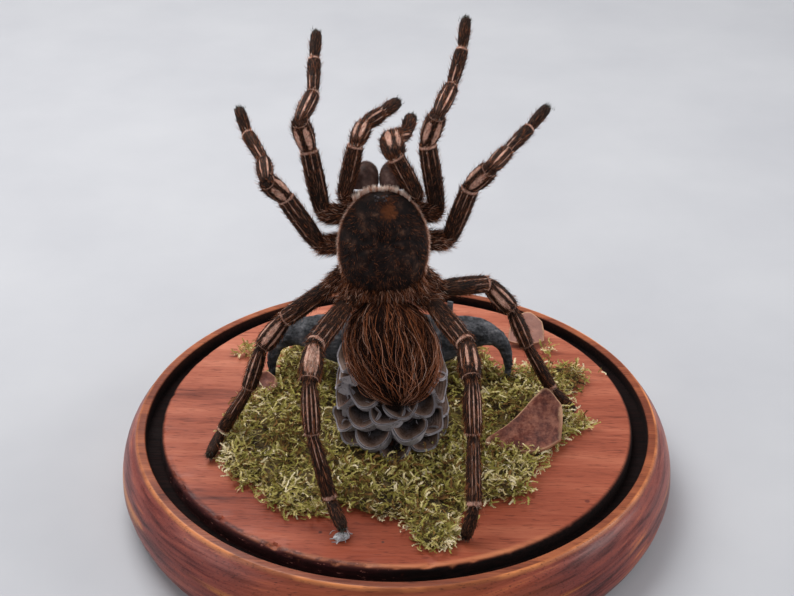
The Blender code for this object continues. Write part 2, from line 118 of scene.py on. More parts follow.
WINDOWS = (  # name, place, aimed at, size, power
    ("window_overhead", (-0.25, 0.35, 0.75), (0.0, 0.0, 0.05), 0.55, 7.0),
    ("window_right", (0.85, -0.05, 0.42), (0.0, 0.0, 0.03), 0.5, 4.2),
    ("window_left", (-0.8, -0.25, 0.35), (0.0, 0.0, 0.03), 0.5, 2.0),
)
for name, spot, aim, size, power in WINDOWS:
    bpy.ops.object.light_add(type="AREA", location=spot)
    window = bpy.context.object
    window.name = name
    window.rotation_euler = (Vector(aim) - Vector(spot)).to_track_quat("-Z", "Y").to_euler()
    window.data.size = size
    window.data.energy = power

bpy.ops.object.camera_add(location=CAMERA_PLACE, rotation=(math.radians(CAMERA_TILT), 0.0, 0.0))
camera = bpy.context.object
camera.data.lens = CAMERA_LENS
camera.data.sensor_width = 36.0
camera.data.clip_start = 0.01
bpy.context.scene.camera = camera


# ---- Wooden base ----
# One disc of reddish hardwood, turned on a lathe, stained and varnished. A flat middle stands inside a groove
# for a glass dome, a thin rim runs round the groove, and a wide bead rolls down to the foot.
BASE_HEIGHT = 22.0
BASE_RADIUS = 79.5
BEAD_HEIGHT = 8.0
RIM_OUTER = 74.4
GROOVE_OUTER = 72.0
GROOVE_INNER = 67.7
GROOVE_FLOOR = 18.0
SHOULDER = 1.5
BASE_STEPS = 300
BEAD_IN = 9.0
BEAD_RISE = 15.0


def base_profile():
    """Radius and height of the turned outline, from the foot over the bead and the groove to the middle."""
    outline = [(75.2, 0.0), (76.0, 0.25), (77.6, 2.2), (78.8, 5.0)]
    for degrees in range(0, 64, 6):
        a = math.radians(degrees)
        outline.append((BASE_RADIUS - BEAD_IN * (1.0 - math.cos(a)), BEAD_HEIGHT + BEAD_RISE * math.sin(a)))
    outline += [(RIM_OUTER + 0.35, BASE_HEIGHT - 0.35), (RIM_OUTER, BASE_HEIGHT - 0.08),
                (RIM_OUTER - 0.5, BASE_HEIGHT), (GROOVE_OUTER + 0.3, BASE_HEIGHT),
                (GROOVE_OUTER, BASE_HEIGHT - 0.3),
                (GROOVE_OUTER - 0.05, GROOVE_FLOOR + 0.4), (GROOVE_OUTER - 0.4, GROOVE_FLOOR),
                (GROOVE_INNER + 0.4, GROOVE_FLOOR), (GROOVE_INNER + 0.05, GROOVE_FLOOR + 0.4)]
    for step in range(8):
        a = math.radians(90.0 * step / 7)
        inset, drop = SHOULDER * (1.0 - math.cos(a)), SHOULDER * (1.0 - math.sin(a))
        outline.append((GROOVE_INNER - inset, BASE_HEIGHT - drop))
    outline += [(radius, BASE_HEIGHT) for radius in (65.0, 62.0, 50.0, 34.0, 17.0, 3.0)]
    return outline


outline = base_profile()
bpy.ops.object.select_all(action="DESELECT")
bpy.ops.mesh.primitive_circle_add(vertices=BASE_STEPS, radius=outline[0][0] * MM, fill_type="NGON")
base = bpy.context.object
base.name = "turned_base"
bpy.ops.object.mode_set(mode="EDIT")
for (inner, low), (outer, high) in zip(outline, outline[1:]):
    bpy.ops.mesh.extrude_region_move(TRANSFORM_OT_translate={"value": (0.0, 0.0, (high - low) * MM)})
    bpy.ops.transform.resize(value=(outer / inner, outer / inner, 1.0), center_override=(0.0, 0.0, 0.0))
bpy.ops.mesh.select_all(action="SELECT")
bpy.ops.mesh.normals_make_consistent(inside=False)
bpy.ops.object.mode_set(mode="OBJECT")
for vert in base.data.vertices:  # the middle's edge is worn and chipped, most of all at the front left
    radius = math.hypot(vert.co.x, vert.co.y) / MM
    if GROOVE_INNER - SHOULDER - 0.6 < radius < GROOVE_INNER + 0.2 and vert.co.z > (GROOVE_FLOOR + 1.5) * MM:
        bearing = math.atan2(vert.co.y, vert.co.x)
        wear = max(0.0, math.cos(bearing + math.radians(128.0))) ** 2
        bite = noise.noise(Vector((vert.co.x, vert.co.y, 0.0)) * 330.0) + 0.7 * noise.noise(vert.co * 900.0)
        pull = min(max(0.0, bite - 0.22) * (0.2 + 1.7 * wear), 0.8)
        vert.co.z -= pull * 1.1 * MM
        vert.co.x *= 1.0 - pull * 0.014
        vert.co.y *= 1.0 - pull * 0.014
bpy.ops.object.shade_smooth_by_angle(angle=math.radians(38.0))


def ranged(tree, value, low, high, to_low=0.0, to_high=1.0):
    """A value brought from one range to another with soft ends."""
    return node(tree, "MapRange", {"Value": value, "From Min": low, "From Max": high, "To Min": to_low,
                                   "To Max": to_high}, interpolation_type="SMOOTHSTEP").outputs["Result"]


def worked(tree, kind, *values):
    """One or two values through one Math node."""
    return node(tree, "Math", dict(enumerate(values)), operation=kind).outputs[0]


def product(tree, first, *others):
    """Values multiplied together."""
    for other in others:
        first = worked(tree, "MULTIPLY", first, other)
    return first


def summed(tree, *parts):
    """A sum of parts, each a value or a value with its weight."""
    total = None
    for part in parts:
        value = product(tree, *part) if isinstance(part, tuple) else part
        total = value if total is None else worked(tree, "ADD", total, value)
    return total


def blended(tree, share, first, second, kind="MIX"):
    """Two colours mixed by a share."""
    made = node(tree, "Mix", {0: share}, data_type="RGBA", blend_type=kind)
    for key, value in ((6, first), (7, second)):
        if isinstance(value, bpy.types.NodeSocket):
            tree.links.new(value, made.inputs[key])
        else:
            made.inputs[key].default_value = value
    return made.outputs[2]


def relief(tree, shader, height, strength, depth):
    """Let a height pattern raise the surface by a depth in metres."""
    bump = node(tree, "Bump", {"Height": height, "Strength": strength, "Distance": depth})
    tree.links.new(bump.outputs["Normal"], shader.inputs["Normal"])


def painted(tree, shader, colour, shine, matt=None):
    """Give a shader its colour, how much it shines and, where it varies, how matt it is."""
    tree.links.new(colour, shader.inputs["Base Color"])
    shader.inputs["Specular IOR Level"].default_value = shine
    if matt is not None:
        tree.links.new(matt, shader.inputs["Roughness"])


wood, tree, shader, place = look("stained_hardwood", 0.42)
split = node(tree, "SeparateXYZ", {"Vector": place})
flat_place = node(tree, "Mapping", {"Vector": place, "Scale": (1.0, 1.0, 0.0)}).outputs[0]
radius = node(tree, "VectorMath", {0: flat_place}, operation="LENGTH").outputs["Value"]
turned = node(tree, "Mapping", {"Vector": place, "Rotation": (0.0, 0.06, 0.05)}).outputs[0]
bands = stretched(tree, turned, (6, 62, 62), 3.0, 0.5, 0.5)
figure = stretched(tree, turned, (14, 230, 230), 4.0, 0.6, 0.4)
fibre = stretched(tree, turned, (60, 1300, 1300), 4.0, 0.6)
pores = stretched(tree, turned, (210, 2600, 2600), 2.0, 0.5)
blotch = stretched(tree, place, (60, 60, 60), 3.0)
grain = summed(tree, (bands, 0.5), (figure, 0.3), (fibre, 0.2))
middle = graded(tree, grain, ((0.39, tone(104, 46, 30)), (0.465, tone(146, 74, 52)),
                              (0.55, tone(166, 92, 68)), (0.63, tone(184, 112, 86))))
to_right, to_back, up = (split.outputs[axis] for axis in "XYZ")
# Partly painted shade: the middle is made darker and redder towards the front, against a back that the room's
# light makes paler.
front = ranged(tree, to_back, 0.025, -0.055)
middle = blended(tree, product(tree, front, 0.75), middle,
                 blended(tree, 1.0, middle, tone(220, 186, 166), "MULTIPLY"))
layers = stretched(tree, turned, (34, 60, 760), 4.0, 0.62, 0.3)
sweep = stretched(tree, turned, (16, 30, 240), 3.0, 0.5, 0.6)
bead_tone = graded(tree, summed(tree, (layers, 0.5), (sweep, 0.5)),
                   ((0.36, tone(58, 18, 16)), (0.46, tone(104, 38, 30)), (0.55, tone(132, 54, 38)),
                    (0.64, tone(176, 92, 50))))
rim_tone = graded(tree, grain, ((0.38, tone(84, 34, 20)), (0.5, tone(122, 60, 36)),
                                (0.62, tone(156, 86, 52))))
groove_tone = graded(tree, fibre, ((0.35, tone(10, 4, 4)), (0.7, tone(30, 13, 11))))
in_groove = product(tree, ranged(tree, radius, 0.0664, 0.0675), ranged(tree, radius, 0.0722, 0.07195))
colour = blended(tree, ranged(tree, radius, 0.07185, 0.0721), middle, rim_tone)
# Painted highlight: a thin orange line along the rim's outer edge, broken up by the blotches.
rim_edge_highlight = product(tree, ranged(tree, radius, 0.0739, 0.0743), ranged(tree, radius, 0.0752, 0.0746))
rim_edge_highlight = product(tree, rim_edge_highlight, ranged(tree, blotch, 0.4, 0.6, 0.2, 0.8))
bead_tone = blended(tree, ranged(tree, to_back, -0.062, -0.078, 0.0, 0.4), bead_tone, tone(190, 98, 54))
colour = blended(tree, ranged(tree, radius, 0.0744, 0.0754), colour, bead_tone)
colour = blended(tree, rim_edge_highlight, colour, tone(214, 132, 78))
low_line = product(tree, ranged(tree, up, 0.0085, 0.0105), ranged(tree, up, 0.0138, 0.0118))
low_line = product(tree, low_line, ranged(tree, radius, 0.077, 0.0775), ranged(tree, sweep, 0.44, 0.56))
colour = blended(tree, product(tree, low_line, 0.75), colour, tone(186, 116, 58))
colour = blended(tree, in_groove, colour, groove_tone)
shade = product(tree, ranged(tree, pores, 0.56, 0.7), 0.6)
colour = blended(tree, shade, colour, blended(tree, 1.0, colour, tone(130, 104, 98), "MULTIPLY"))
shoulder = product(tree, ranged(tree, radius, 0.0651, 0.0662), ranged(tree, radius, 0.0681, 0.0676))
worn_side = summed(tree, to_back, (to_right, 0.35))
worn_side = product(tree, ranged(tree, worn_side, -0.038, -0.056), ranged(tree, to_right, 0.006, -0.014))
# Painted highlight: a bright orange band where the front of the middle's rounded shoulder catches the light.
shoulder_highlight = product(tree, shoulder, ranged(tree, to_back, -0.05, -0.064), ranged(tree, radius, 0.0673, 0.0667))
shoulder_highlight = product(tree, shoulder_highlight, ranged(tree, figure, 0.4, 0.55, 0.3, 0.6))
colour = blended(tree, shoulder_highlight, colour, tone(216, 138, 92))
splinters = stretched(tree, place, (300, 300, 900), 4.0, 0.7)
bruise = product(tree, shoulder, worn_side, ranged(tree, splinters, 0.4, 0.6, 0.4, 0.85))
colour = blended(tree, bruise, colour, tone(56, 20, 20))
chip = product(tree, shoulder, worn_side, ranged(tree, splinters, 0.63, 0.68))
colour = blended(tree, product(tree, chip, 0.6), colour, tone(186, 118, 102))
FLECKS = (  # place, size and tone of the specks on the middle
    ((-0.0385, -0.0585, 0.022), 0.0008, (214, 196, 190)), ((-0.0196, -0.0533, 0.022), 0.0006, (44, 22, 18)),
    ((-0.0035, -0.0572, 0.022), 0.0005, (52, 44, 40)), ((-0.0575, -0.0365, 0.022), 0.0009, (40, 16, 14)),
    ((0.0505, -0.0405, 0.022), 0.0008, (90, 34, 26)),
)
for spot, size, fleck in FLECKS:
    away = node(tree, "VectorMath", {0: place, 1: spot}, operation="DISTANCE").outputs["Value"]
    rough_edge = summed(tree, away, (blotch, 0.0004))
    spread = ranged(tree, rough_edge, size + 0.0003, size - 0.0002, 0.0, 0.8)
    colour = blended(tree, spread, colour, tone(*fleck))
streaky = summed(tree, (layers, 0.6), (pores, 0.4))
matt = summed(tree, ranged(tree, streaky, 0.3, 0.7, 0.36, 0.6), (in_groove, 0.5))
painted(tree, shader, colour, 0.16, matt)
on_bead = product(tree, ranged(tree, radius, 0.0735, 0.0752), ranged(tree, layers, 0.36, 0.56, 0.1, 0.4))
varnish = summed(tree, on_bead, 0.05)
tree.links.new(product(tree, varnish, worked(tree, "SUBTRACT", 1.0, in_groove)), shader.inputs["Coat Weight"])
shader.inputs["Coat Roughness"].default_value = 0.3
relief(tree, shader, summed(tree, (fibre, 0.6), (streaky, 0.7)),
       0.5, 0.0003)
base.data.materials.append(wood)
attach(base, "root")
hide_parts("base")


# ---- Moss ----
# Dried sheet moss glued on the base: a matted layer of old stems with feathery green and straw-coloured
# sprigs over it, and a few loose tufts that have come away round its edge.
MOSS_OUTLINE = (
    (-49, -20), (-44, -30), (-36, -34), (-34, -41), (-26, -45), (-14, -42), (-7, -46), (2, -47), (4, -53),
    (8, -60), (13, -59), (14, -50), (21, -41), (30, -39), (36, -31), (41, -20), (50, -8), (48, 6), (54, 15),
    (54, 22), (45, 22), (31, 19), (23, 34), (10, 41), (-5, 44), (-20, 43), (-30, 39), (-35, 29), (-36, 18),
    (-38, 9), (-45, 4), (-47, -7),
)
MOSS_PRESSED = ((-2.0, -6.0, 19.0), (38.0, -13.0, 9.5), (-2.0, 16.0, 13.0))  # across, back and how far round
TUFTS = (  # across, back, how far round and how many sprigs
    (53.0, 19.0, 4.0, 90), (51.5, -6.0, 4.0, 110), (-46.5, 33.0, 3.0, 60), (-38.0, 12.0, 3.5, 40),
    (10.5, -57.0, 4.5, 200), (13.0, -55.0, 4.0, 120), (-21.0, -45.0, 3.5, 120), (-27.0, -44.0, 4.0, 90),
    (-40.0, -33.0, 4.0, 70), (32.0, -37.0, 4.0, 80), (6.0, -49.0, 4.0, 120), (47.0, 34.0, 2.4, 26),
)
SPRIG_SPOTS = 28500
EDGE_SPRIGS = 5  # to the millimetre of outline
SPRIG_FORMS = 12
STEM_STEPS = 4
LEAVES = 16


def in_outline(points, outline):
    """Which points lie inside an outline."""
    inside = np.zeros(len(points), bool)
    for (x1, y1), (x2, y2) in zip(outline, outline[1:] + outline[:1]):
        crosses = (y1 > points[:, 1]) != (y2 > points[:, 1])
        with np.errstate(divide="ignore", invalid="ignore"):
            at = (x2 - x1) * (points[:, 1] - y1) / (y2 - y1) + x1
        inside ^= crosses & (points[:, 0] < at)
    return inside


def give_points(mesh, name, values):
    """Give each point of a mesh a number that its material reads."""
    mesh.attributes.new(name, "FLOAT", "POINT").data.foreach_set("value", np.asarray(values, np.float32))


def from_points(tree, name):
    """Read back, in a material, the number that each point was given."""
    return node(tree, "Attribute", attribute_name=name).outputs["Fac"]


def from_triangles(name, points, triangles, tint):
    """An object from points in millimetres and triangles, with a tint for each point."""
    mesh = bpy.data.meshes.new(name)
    mesh.vertices.add(len(points))
    mesh.vertices.foreach_set("co", (np.asarray(points, np.float32) * MM).ravel())
    mesh.loops.add(triangles.size)
    mesh.loops.foreach_set("vertex_index", triangles.ravel().astype(np.int32))
    mesh.polygons.add(len(triangles))
    mesh.polygons.foreach_set("loop_start", np.arange(0, triangles.size, 3, dtype=np.int32))
    give_points(mesh, "tint", tint)
    mesh.update(calc_edges=True)
    made = bpy.data.objects.new(name, mesh)
    bpy.context.scene.collection.objects.link(made)
    return made


def sprig_form(draw):
    """One feathery sprig a unit long: a curled stem with pairs of narrow leaves."""
    share = np.linspace(0.0, 1.0, STEM_STEPS + 1)
    curl = draw.uniform(-2.4, 2.4)
    heading = curl * share ** 1.3
    ways = np.stack([np.cos(heading), np.sin(heading), draw.uniform(-0.5, 0.9) * (1 - share)], 1)
    stem = np.cumsum(ways / len(share), 0)
    half = np.array([0.026, 0.026, 0.022, 0.015, 0.004])[:, None]
    aside = np.stack([-np.sin(heading), np.cos(heading), 0.5 + 0 * heading], 1) * half
    points = [*(stem - aside), *(stem + aside)]
    triangles = []
    for near in range(STEM_STEPS):
        far = near + len(share)
        triangles += [(near, near + 1, far + 1), (near, far + 1, far)]
    for leaf in range(LEAVES):
        at = 0.04 + 0.95 * (leaf + draw.uniform(-0.3, 0.3)) / LEAVES
        spot = np.array([np.interp(at, share, stem[:, axis]) for axis in range(3)])
        turn = np.interp(at, share, heading) + (1.0 if leaf % 2 else -1.0) * draw.uniform(0.5, 1.05)
        size = 0.2 * (1.0 - 0.5 * at) * draw.uniform(0.6, 1.3)
        tip = spot + np.array([math.cos(turn), math.sin(turn), draw.uniform(-0.3, 0.7)]) * size
        wide = np.array([-math.sin(turn), math.cos(turn), 0.2]) * 0.046
        triangles.append((len(points), len(points) + 1, len(points) + 2))
        points += [spot - wide, spot + wide, tip]
    return np.array(points), np.array(triangles)


def grow_moss(name, places, lean, sizes, tints, draw):
    """Set sprigs at their places, each turned its own way, and join them in one object."""
    forms = [sprig_form(draw) for _ in range(SPRIG_FORMS)]
    points, triangles, tint, start = [], [], [], 0
    which = draw.integers(0, len(forms), len(places))
    bearing, roll = draw.uniform(0.0, math.tau, len(places)), draw.uniform(-0.9, 0.9, len(places))
    for kind, (form, faces) in enumerate(forms):
        picked = np.nonzero(which == kind)[0]
        ca, sa = np.cos(bearing[picked]), np.sin(bearing[picked])
        cl, sl = np.cos(lean[picked]), np.sin(lean[picked])
        cr, sr = np.cos(roll[picked]), np.sin(roll[picked])
        along = np.stack([ca * cl, sa * cl, sl], 1)
        aside = np.stack([-sa, ca, 0 * ca], 1)
        above = np.cross(along, aside)
        across = aside * cr[:, None] + above * sr[:, None]
        above = np.cross(along, across)
        turn = np.stack([along, across, above], 1) * sizes[picked][:, None, None]
        spots = np.einsum("pk,skj->spj", form, turn) + places[picked][:, None, :]
        points.append(spots.reshape(-1, 3))
        first = start + np.arange(len(picked)) * len(form)
        triangles.append((faces[None] + first[:, None, None]).reshape(-1, 3))
        tint.append((tints[picked][:, None] + 0.22 * form[None, :, 0]).reshape(-1))
        start += len(picked) * len(form)
    points, tint = np.concatenate(points), np.concatenate(tint)
    points[:, 2] = np.maximum(points[:, 2], BASE_HEIGHT + 0.05)
    return from_triangles(name, points, np.concatenate(triangles), tint)


def swung(tree, value, pattern, amount):
    """A value pushed up and down by a pattern."""
    return summed(tree, value, (worked(tree, "SUBTRACT", pattern, 0.5), amount))


def copy_of(name, new_name):
    """A copy of a CAD node, left in edit mode with its triangles merged and all selected."""
    bpy.ops.object.select_all(action="DESELECT")
    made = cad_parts[name].copy()
    made.data = made.data.copy()
    made.name = new_name
    made.data.materials.clear()
    bpy.context.scene.collection.objects.link(made)
    made.select_set(True)
    bpy.context.view_layer.objects.active = made
    bpy.ops.object.mode_set(mode="EDIT")
    bpy.ops.mesh.select_all(action="SELECT")
    bpy.ops.mesh.remove_doubles(threshold=0.00001)
    return made


sprigs, tree, shader, place = look("moss_sprigs", 0.85)
tint = from_points(tree, "tint")
patch = stretched(tree, place, (90, 90, 90), 3.0)
speck = stretched(tree, place, (900, 900, 900), 2.0)
blend = swung(tree, tint, patch, 1.1)
blend = swung(tree, blend, speck, 0.25)
colour = graded(tree, blend, ((0.0, tone(48, 30, 14)), (0.2, tone(98, 66, 34)), (0.36, tone(138, 100, 54)),
                              (0.48, tone(124, 114, 50)), (0.64, tone(166, 156, 78)),
                              (0.82, tone(208, 190, 124)), (1.0, tone(236, 220, 182))))
painted(tree, shader, colour, 0.2)
relief(tree, shader, speck, 0.4, 0.0002)

litter, tree, shader, place = look("moss_litter", 0.95)
clump = stretched(tree, place, (260, 260, 260), 4.0, 0.7)
colour = graded(tree, clump, ((0.3, tone(34, 26, 12)), (0.5, tone(82, 64, 30)), (0.7, tone(122, 108, 48))))
tree.links.new(colour, shader.inputs["Base Color"])
relief(tree, shader, clump, 0.9, 0.0015)

mat = copy_of("moss_mat", "moss_litter")
bpy.ops.mesh.subdivide(number_cuts=3)
bpy.ops.object.mode_set(mode="OBJECT")
for vert in mat.data.vertices:
    if vert.co.z > 0.0228:
        vert.co.z += 0.0009 * noise.noise(vert.co * 300.0) + 0.0006 * noise.noise(vert.co * 900.0)
mat.data.materials.append(litter)
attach(mat, "root")
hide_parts("moss_mat")

draw = np.random.default_rng(11)
spots = draw.uniform((-56, -62), (56, 56), (SPRIG_SPOTS, 2))
spots = spots[in_outline(spots, MOSS_OUTLINE)]
ragged = np.array([noise.noise(Vector((x, y, 0.0)) * 0.22) + 0.5 * noise.noise(Vector((x, y, 9.0)) * 0.6)
                   for x, y in spots])
spots, ragged = spots[ragged > -0.34], ragged[ragged > -0.34]
pressed = np.zeros(len(spots))
for x, y, reach in MOSS_PRESSED:
    away = np.hypot(spots[:, 0] - x, spots[:, 1] - y)
    pressed = np.maximum(pressed, np.clip(1.35 - away / reach, 0.0, 1.0))
keep = draw.uniform(0.0, 1.0, len(spots)) > pressed * 0.85
spots, ragged, pressed = spots[keep], ragged[keep], pressed[keep]
thickness = 2.0 + 2.2 * ragged + draw.uniform(0.0, 1.3, len(spots))
height = BASE_HEIGHT + 0.5 + thickness * (1.0 - 0.75 * pressed)
moss_places = np.column_stack([spots, np.maximum(height, BASE_HEIGHT + 0.3)])
moss_lean = draw.normal(0.05, 0.34, len(spots)) * (1.0 - 0.5 * pressed)
moss_sizes = draw.uniform(1.8, 4.0, len(spots)) * (1.0 - 0.3 * pressed)
moss_tints = np.clip(draw.normal(0.42, 0.21, len(spots)) + 0.22 * ragged, 0.02, 0.98)
thirds = np.digitize(spots[:, 0], (-18.0, 16.0))
for third, name in enumerate(("moss_left", "moss_middle", "moss_right")):
    part = thirds == third
    moss = grow_moss(name, moss_places[part], moss_lean[part], moss_sizes[part], moss_tints[part], draw)
    moss.data.materials.append(sprigs)
    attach(moss, "root")
loose = [draw.normal((x, y, 0.0), (reach * 0.45, reach * 0.4, 0.0), (count, 3))
         for x, y, reach, count in TUFTS]
for (x1, y1), (x2, y2) in zip(MOSS_OUTLINE, MOSS_OUTLINE[1:] + MOSS_OUTLINE[:1]):
    share = draw.uniform(0, 1, int(EDGE_SPRIGS * math.hypot(x2 - x1, y2 - y1)))[:, None]
    loose.append(share * (x2 - x1, y2 - y1, 0.0) + (x1, y1, 0.0) + draw.normal(0, 0.8, (len(share), 3)))
loose = np.concatenate(loose)
loose[:, 2] = BASE_HEIGHT + draw.uniform(0.2, 2.2, len(loose))
leans, sizes = draw.normal(0.12, 0.35, len(loose)), draw.uniform(1.8, 4.0, len(loose))
tints = np.clip(draw.normal(0.56, 0.2, len(loose)), 0.05, 0.98)
tufts = grow_moss("moss_tufts", loose, leans, sizes, tints, draw)
tufts.data.materials.append(sprigs)
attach(tufts, "root")


# ---- Cone ----
# One dried cone with round scales cupped like spoons, painted dark inside as shade and pale along their rims.
# It stands stalk down in the moss under the specimen, and its scales grow out of one core.

def weathered_group():
    """Grey wear and dust for dry shells: a mask for what faces up, and a mottle."""
    group = bpy.data.node_groups.new("dry_wear", "ShaderNodeTree")
    group.interface.new_socket("Vector", in_out="INPUT", socket_type="NodeSocketVector")
    group.interface.new_socket("Grain", in_out="INPUT", socket_type="NodeSocketFloat")
    group.interface.new_socket("Mottle", in_out="OUTPUT", socket_type="NodeSocketFloat")
    group.interface.new_socket("Dust", in_out="OUTPUT", socket_type="NodeSocketFloat")
    given = group.nodes.new("NodeGroupInput")
    told = group.nodes.new("NodeGroupOutput")
    where, grain = given.outputs["Vector"], given.outputs["Grain"]
    coarse = node(group, "TexNoise", {"Vector": where, "Scale": grain, "Detail": 5.0, "Roughness": 0.62})
    fine = node(group, "TexNoise", {"Vector": where, "Scale": product(group, grain, 5.0), "Detail": 3.0})
    facing = node(group, "SeparateXYZ", {"Vector": node(group, "NewGeometry").outputs["Normal"]}).outputs["Z"]
    mottle = summed(group, (coarse.outputs["Fac"], 0.65), (fine.outputs["Fac"], 0.35))
    dust = product(group, ranged(group, facing, 0.1, 0.95), ranged(group, mottle, 0.42, 0.62))
    group.links.new(mottle, told.inputs["Mottle"])
    group.links.new(dust, told.inputs["Dust"])
    return group


dry_wear = weathered_group()


def worn(tree, place, grain):
    """Place the wear group in a material."""
    made = tree.nodes.new("ShaderNodeGroup")
    made.node_tree = dry_wear
    tree.links.new(place, made.inputs["Vector"])
    made.inputs["Grain"].default_value = grain
    return made.outputs["Mottle"], made.outputs["Dust"]


# Scales that show: across, back, up, bearing, how far it faces up, half width, half height and depth
SHOWN_SCALES = (
    (-6.6, -22.3, 30.2, -96, 52, 4.8, 3.4, 2.5), (3.3, -21.8, 32.4, -86, 54, 4.6, 3.5, 2.5),
    (-0.5, -23.0, 26.0, -90, 50, 4.3, 3.0, 2.4), (-9.3, -19.3, 34.6, -108, 50, 4.6, 3.1, 2.4),
    (6.6, -17.6, 37.2, -72, 42, 4.0, 3.4, 2.3), (9.6, -17.2, 31.0, -50, 34, 4.2, 3.2, 2.3),
    (-14.6, -13.0, 37.0, -146, 30, 3.4, 3.2, 2.2), (-14.4, -15.2, 31.2, -136, 30, 3.9, 3.2, 2.2),
    (-14.8, -9.0, 40.6, -160, 34, 3.6, 3.2, 2.2), (-14.9, -10.0, 32.0, -160, 24, 4.2, 3.3, 2.2),
    (-13.6, -7.0, 46.2, -158, 30, 4.6, 4.2, 2.3), (11.6, -6.4, 43.2, -16, 26, 4.6, 4.2, 2.3),
    (11.2, -11.2, 38.8, -32, 28, 4.2, 3.8, 2.3), (7.8, -20.2, 27.2, -66, 40, 4.2, 3.0, 2.3),
    (-11.6, -18.2, 28.0, -122, 34, 4.3, 3.2, 2.3), (-2.6, -20.4, 35.6, -92, 58, 4.6, 3.0, 2.1),
    (12.4, -9.6, 32.3, -24, 24, 4.2, 3.4, 2.2), (12.0, -12.6, 26.4, -36, 20, 4.2, 3.0, 2.2),
    (-8.6, -16.2, 39.2, -112, 50, 4.4, 3.2, 2.0), (1.0, -18.8, 37.0, -88, 50, 4.4, 3.0, 2.0),
)
# Rows behind: height, reach, how many, how far they face up and half width
BACK_ROWS = ((26.6, 11.2, 8, 10, 4.3), (32.0, 12.6, 8, 20, 4.6), (37.6, 12.8, 8, 30, 4.6),
             (42.8, 11.2, 6, 40, 4.4), (46.8, 8.0, 4, 54, 4.2))
CONE_MIDDLE = Vector((-2.0, -9.2, 35.0))

bpy.ops.object.select_all(action="DESELECT")
bpy.ops.mesh.primitive_uv_sphere_add(segments=36, ring_count=18, radius=1.0)
scale_form = bpy.context.object
bpy.ops.object.mode_set(mode="EDIT")
bpy.ops.mesh.select_all(action="SELECT")
bpy.ops.mesh.bisect(plane_co=(0, 0, -0.06), plane_no=(0, 0, 1), clear_outer=True)
bpy.ops.object.mode_set(mode="OBJECT")
for vert in scale_form.data.vertices:  # a half-moon bowl: round below, nearly straight along its upper lip
    reach = min(math.hypot(vert.co.x, vert.co.y), 1.0)
    vert.co.z = -(1.0 - reach ** 2.4)
    vert.co.y = 0.35 + vert.co.y * (1.0 if vert.co.y < 0 else 0.34)
shell_count = len(scale_form.data.vertices)
bpy.ops.object.modifier_add(type="SOLIDIFY")
scale_form.modifiers[-1].thickness = 0.11
scale_form.modifiers[-1].offset = 1.0
bpy.ops.object.modifier_apply(modifier=scale_form.modifiers[-1].name)
for face in scale_form.data.polygons:
    face.select = face.normal.z < -0.5 and math.hypot(face.center.x, face.center.y - 0.2) < 0.34
bpy.ops.object.mode_set(mode="EDIT")
bpy.ops.mesh.extrude_region_move(TRANSFORM_OT_translate={"value": (0.0, 0.0, -1.6)})
bpy.ops.object.mode_set(mode="OBJECT")
form = scale_form.data.copy()
bpy.data.objects.remove(scale_form)


def cone_scales():
    """Every scale as its own copy of the one form, with the ridges and the rim's wave of its own."""
    draw = np.random.default_rng(5)
    rows = list(SHOWN_SCALES)
    for row, (height, reach, count, rise, half) in enumerate(BACK_ROWS):
        for index in range(count):
            degrees = -8.0 + 196.0 * (index + 0.25 + 0.5 * (row % 2)) / count
            bearing = math.radians(degrees)
            across = CONE_MIDDLE.x + reach * math.cos(bearing)
            back = CONE_MIDDLE.y + reach * math.sin(bearing)
            rows.append((across, back, height + draw.uniform(-0.8, 0.8), degrees, rise + draw.uniform(-6, 6),
                         half, half * 0.76, 2.3))
    made = []
    for x, y, z, bearing, rise, half_width, half_height, depth in rows:
        mesh = form.copy()
        leaned = Matrix.Rotation(math.radians(90.0 - rise), 4, "X")
        turn = Matrix.Rotation(math.radians(bearing + 90.0), 4, "Z") @ leaned
        phase, lobes = draw.uniform(0.0, math.tau), draw.integers(2, 5)
        reaches = []
        for vert in mesh.vertices:
            low = (vert.co.y - 0.35) / (1.0 if vert.co.y < 0.35 else 0.34)
            a, reach = math.atan2(low, vert.co.x), math.hypot(vert.co.x, low)
            reaches.append(reach)
            if vert.co.z > -1.3:
                wave = 0.16 * reach ** 3 * math.sin(lobes * a + phase)
                wave += 0.05 * reach ** 2 * noise.noise(Vector((a * 2.0, phase, reach)))
                vert.co.z += wave + 0.02 * reach * math.sin(23.0 * a)
                vert.co.x *= 1.0 + 0.06 * math.sin(2.0 * a + phase)
                vert.co.y += 0.07 * reach * math.sin(3.0 * a + 2.0 * phase)
            deep = (vert.co.z + 0.25) * depth
            vert.co = Vector((vert.co.x * half_width, vert.co.y * half_height / 0.66, deep))
        give_points(mesh, "rim", reaches)
        give_points(mesh, "height", [vert.co.y / half_height for vert in mesh.vertices])
        inner_wall = range(shell_count, 2 * shell_count)
        give_points(mesh, "outside", [index not in inner_wall for index in range(len(reaches))])
        mesh.transform(turn)
        for vert in mesh.vertices:
            vert.co = (vert.co + Vector((x, y, z))) * MM
        scale = bpy.data.objects.new("cone_scale", mesh)
        bpy.context.scene.collection.objects.link(scale)
        made.append(scale)
    return made


scales = cone_scales()
bpy.ops.object.select_all(action="DESELECT")
bpy.ops.mesh.primitive_uv_sphere_add(segments=32, ring_count=20, radius=1.0)
core = bpy.context.object
for vert in core.data.vertices:
    spread = 1.0 + 0.08 * noise.noise(vert.co * 5.0)
    vert.co = Vector((vert.co.x * 9.8 * spread + CONE_MIDDLE.x, vert.co.y * 9.8 * spread + CONE_MIDDLE.y,
                      vert.co.z * 11.4 + 34.8)) * MM
for scale in scales:
    scale.select_set(True)
core.select_set(True)
bpy.context.view_layer.objects.active = core
bpy.ops.object.join()
cone = bpy.context.object
cone.name = "cupped_cone"
bpy.ops.object.shade_smooth_by_angle(angle=math.radians(50.0))

